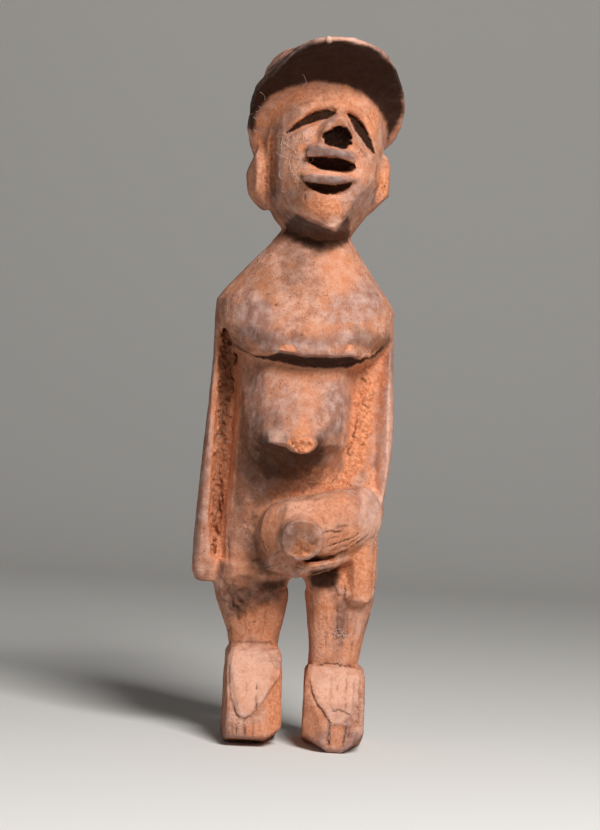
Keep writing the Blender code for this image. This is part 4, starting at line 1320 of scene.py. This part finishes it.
@dataclass(frozen=True)
class DustyWood:
    """Old carved hardwood, oiled by hands, smoked, and coated with dry laterite dust.

    The eye sees matt orange powder on most of it, mauve-grey polish where edges are rubbed, bright crumbly
    earth packed in the grooves, and near-black soot and painted shade in the recesses and under overhangs,
    with painted highlights on some edges in the pale powder. Sizes are in mm. The last four numbers say how
    bare the pits are, how bare the wood gets anywhere, how far the mottle breaks up the polish, and how
    bare the crackle is.
    """

    wood: str = "#4A2B1E"
    wood_light: str = "#74493A"
    dust: str = "#B87A5B"
    dust_mauve: str = "#9A6C5B"
    dust_light: str = "#CFA089"
    worn: str = "#7A564B"
    worn_light: str = "#BC9B92"
    earth: str = "#BB6B43"
    earth_light: str = "#D9956E"
    pale: str = "#D9A891"
    # The near-black of soot, also used for painted shade.
    soot: str = "#140602"
    soot_and_shade_brown: str = "#3A1909"
    speckle: float = 0.55
    mottle: float = 3.6
    blotch: float = 15.0
    drift: float = 2.4
    grain: float = 0.7
    grain_length: float = 12.0
    crumb: float = 1.1
    pit: float = 2.1
    crackle: float = 5.0
    relief: float = 0.32
    pitted: float = 0.35
    bared: float = 0.72
    ragged: float = 1.3
    cracked: float = 0.6

    def material(self) -> bpy.types.Material:
        """Puts the material together."""
        surface = Surface("dusty_carved_wood")
        add = surface.add
        place = add("ShaderNodeTexCoord", {}, "Object")
        along = add("ShaderNodeMapping", {"Vector": place, "Scale": (1.0, 1.0, 1.0 / self.grain_length)})

        speckle, mottle, blotch, grain, crumb = (
            add(
                "ShaderNodeTexNoise",
                {
                    "Vector": at,
                    "Scale": 1.0 / (size * MM),
                    "Detail": detail,
                    "Roughness": roughness,
                    "Distortion": distortion,
                },
            )
            for at, size, detail, roughness, distortion in (
                (place, self.speckle, 3.0, 0.5, 0.0),
                (place, self.mottle, 7.0, 0.66, 0.0),
                (place, self.blotch, 6.0, 0.6, 0.8),
                (along, self.grain, 3.0, 0.5, 0.0),
                (place, self.crumb, 5.0, 0.65, 0.0),
            )
        )
        cells = {"Vector": place, "Scale": 1.0 / (self.pit * MM)}
        pit_gap, pit_kind = (add("ShaderNodeTexVoronoi", cells, output) for output in ("Distance", "Color"))

        # How far each pattern shows, from 0 at its first number to 1 at its second.
        streak, thin, thick, specks, field, hole, chosen, patchy, shine, fresh, deep = (
            add("ShaderNodeMapRange", {"Value": pattern, "From Min": low, "From Max": high})
            for pattern, low, high in (
                (grain, 0.36, 0.64),  # paler lines in the bare wood
                (blotch, 0.40, 0.62),  # powder so thin that it looks mauve
                (mottle, 0.42, 0.72),  # powder so thick that it looks pale
                (speckle, 0.48, 0.66),  # specks where the powder has come off
                (crumb, 0.46, 0.66),  # the fields that the specks lie in
                (pit_gap, 0.26, 0.06),  # a hole at the middle of each cell
                (pit_kind, 0.86, 0.92),  # the few cells that have one
                (mottle, 0.60, 0.70),  # where the powder has crackled
                (mottle, 0.44, 0.74),  # the silver of the polish
                (crumb, 0.38, 0.62),  # earth that has crumbled
                (crumb, 0.50, 0.80),  # brown grease in the soot, and brown in the painted shade
            )
        )
        wood, dust, worn, earth, soot = (
            add("ShaderNodeMix", {0: share, 6: linear(first), 7: linear(second)}, 2, data_type="RGBA")
            for share, first, second in (
                (streak, self.wood, self.wood_light),
                (thin, self.dust, self.dust_mauve),
                (shine, self.worn, self.worn_light),
                (fresh, self.earth, self.earth_light),
                (deep, self.soot, self.soot_and_shade_brown),
            )
        )
        rubbed, packed, powder, black = (
            add("ShaderNodeAttribute", {}, "Fac", attribute_name=layer.value)
            for layer in (Layer.WORN, Layer.EARTH, Layer.PALE, Layer.SOOT_AND_SHADE)
        )

        # Bare wood in specks, pits and the lines of the crackle.
        bare = add("ShaderNodeMath", {0: specks, 1: field}, operation="MULTIPLY")
        pits = add("ShaderNodeMath", {0: hole, 1: chosen}, operation="MULTIPLY")
        dotted = {0: pits, 1: self.pitted, 2: bare}
        bare = add("ShaderNodeMath", dotted, operation="MULTIPLY_ADD", use_clamp=True)
        drift = add("ShaderNodeTexNoise", {"Vector": place, "Scale": 0.45 / MM, "Detail": 2.0}, "Color")
        drifted = {0: drift, 1: (self.drift * MM,) * 3, 2: place}
        strayed = add("ShaderNodeVectorMath", drifted, operation="MULTIPLY_ADD")
        cells = {"Vector": strayed, "Scale": 1.0 / (self.crackle * MM)}
        crackle = add("ShaderNodeTexVoronoi", cells, "Distance", feature="DISTANCE_TO_EDGE")
        narrow = {"Value": crackle, "From Min": 0.030, "From Max": 0.004, "To Max": self.cracked}
        crackle = add("ShaderNodeMapRange", narrow)
        crackle = add("ShaderNodeMath", {0: crackle, 1: patchy}, operation="MULTIPLY")
        bare = add("ShaderNodeMath", {0: bare, 1: crackle}, operation="MAXIMUM")
        bare = add("ShaderNodeMath", {0: bare, 1: self.bared}, operation="MULTIPLY")

        # Polish with a ragged edge, earth with pits in it, and the palest powder, with its painted
        # highlights, in crumbs.
        polish = add("ShaderNodeMath", {0: mottle, 1: -0.5}, operation="ADD")
        polish = add("ShaderNodeMath", {0: polish, 1: self.ragged, 2: rubbed}, operation="MULTIPLY_ADD")
        ragged = {"Value": polish, "From Min": 0.15, "From Max": 0.95, "To Max": 0.9}
        polish = add("ShaderNodeMapRange", ragged)
        earth = add("ShaderNodeMix", {0: pits, 6: earth, 7: linear(self.wood)}, 2, data_type="RGBA")
        broken = {"Value": crumb, "From Min": 0.30, "From Max": 0.62, "To Min": 0.35}
        crumbled = add("ShaderNodeMapRange", broken)
        powder = add("ShaderNodeMath", {0: powder, 1: crumbled}, operation="MULTIPLY")

        # The coats in the order in which they lie: the pale one also holds painted highlights, the black
        # one soot and painted shade.
        colour = dust
        for share, coat in (
            (thick, linear(self.dust_light)),
            (bare, wood),
            (polish, worn),
            (packed, earth),
            (powder, linear(self.pale)),
            (black, soot),
        ):
            colour = add("ShaderNodeMix", {0: share, 6: colour, 7: coat}, 2, data_type="RGBA")
        rough = add("ShaderNodeMapRange", {"Value": polish, "To Min": 0.94, "To Max": 0.52})
        gloss = add("ShaderNodeMapRange", {"Value": polish, "To Min": 0.12, "To Max": 0.45})

        # The relief that is too fine for the mesh: how high each pattern stands, less where it is rubbed.
        lumps = add("ShaderNodeMath", {0: crumb, 1: packed}, operation="MULTIPLY")
        height = crumb
        for pattern, strength in ((grain, 0.5), (speckle, 0.6), (lumps, 1.2), (bare, -0.6)):
            height = add("ShaderNodeMath", {0: pattern, 1: strength, 2: height}, operation="MULTIPLY_ADD")
        smooth = add("ShaderNodeMapRange", {"Value": rubbed, "To Min": 1.0, "To Max": 0.35})
        bump = add("ShaderNodeBump", {"Height": height, "Distance": self.relief * MM, "Strength": smooth})
        return surface.shaded(
            {"Base Color": colour, "Roughness": rough, "Specular IOR Level": gloss, "Normal": bump}
        )


@dataclass(frozen=True)
class LintFibre:
    """Cotton and plant lint, dull, off-white and dusted with earth. The eye sees hair-thin pale threads."""

    colour: str = "#D6C3B4"
    dusted: str = "#B08C78"

    def material(self) -> bpy.types.Material:
        """Puts the material together."""
        surface = Surface("lint_fibre")
        place = surface.add("ShaderNodeTexCoord", {}, "Object")
        dusted = surface.add("ShaderNodeTexNoise", {"Vector": place, "Scale": 0.7 / MM, "Detail": 2.0})
        share = surface.add("ShaderNodeMapRange", {"Value": dusted, "From Min": 0.35, "From Max": 0.65})
        colours = {0: share, 6: linear(self.colour), 7: linear(self.dusted)}
        colour = surface.add("ShaderNodeMix", colours, 2, data_type="RGBA")
        return surface.shaded({"Base Color": colour, "Roughness": 0.85})


@dataclass(frozen=True)
class Paper:
    """Matt studio paper, pale and even."""

    colour: str = "#D9D6D1"

    def material(self) -> bpy.types.Material:
        """Puts the material together."""
        return Surface("studio_paper").shaded({"Base Color": linear(self.colour), "Roughness": 0.9})


@dataclass
class Studio:
    """A pale paper sweep and soft lamps in front. Sizes are in metres."""

    width: float = 3.0
    front: float = 1.2
    back: float = 0.8
    bend: float = 0.5
    height: float = 1.4
    steps: int = 16
    sky: str = "#B8B8B8"
    sky_strength: float = 0.12

    def build(self) -> None:
        """Sets up the paper, the lamps, the sky and the camera."""
        self.paper()
        self.lamp("key", (0.32, -0.72, 0.72), size=0.36, power=14.2)
        self.lamp("fill", (-0.6, -0.7, 0.25), size=0.5, power=0.5)
        world = bpy.data.worlds.new("sky")
        world.use_nodes = True
        inputs = world.node_tree.nodes["Background"].inputs
        inputs["Color"].default_value = linear(self.sky)
        inputs["Strength"].default_value = self.sky_strength
        bpy.context.scene.world = world
        bpy.context.scene.view_settings.view_transform = "Standard"
        SIGHT.camera()

    def paper(self) -> None:
        """Rolls out the paper under and behind the figure."""
        bpy.ops.object.select_all(action="DESELECT")
        bpy.ops.mesh.primitive_grid_add(x_subdivisions=1, y_subdivisions=self.steps + 2, size=2.0)
        sheet = bpy.context.object
        sheet.name = "paper_sweep"
        profile = [(-self.front, 0.0)]
        for step in range(self.steps + 1):
            angle = 0.5 * math.pi * step / self.steps
            profile.append((self.back + self.bend * math.sin(angle), self.bend * (1.0 - math.cos(angle))))
        profile.append((self.back + self.bend, self.height))
        for index, (depth, rise) in enumerate(profile):
            for side, vert in zip((-1, 1), sheet.data.vertices[index * 2 : index * 2 + 2]):
                vert.co = (side * self.width, depth, rise)
        alone(sheet)
        bpy.ops.object.shade_smooth()
        sheet.data.materials.append(Paper().material())

    def lamp(self, name: str, place: tuple[float, float, float], size: float, power: float) -> None:
        """Hangs a square lamp that faces the figure.

        Args:
            name: its name.
            place: where it hangs in metres.
            size: the side of its face in metres.
            power: its power in watts.
        """
        data = bpy.data.lights.new(name, "AREA")
        data.size = size
        data.energy = power
        obj = bpy.data.objects.new(name, data)
        obj.location = place
        obj.rotation_euler = (Vector((0.0, 0.0, 0.12)) - Vector(place)).to_track_quat("-Z", "Y").to_euler()
        bpy.context.scene.collection.objects.link(obj)


def main() -> None:
    """Builds the studio and the figure."""
    logging.basicConfig(level=logging.INFO, format="%(name)s: %(message)s")
    Studio().build()
    figure = Carving().build()
    Lint().build(figure)


if __name__ == "__main__":
    main()
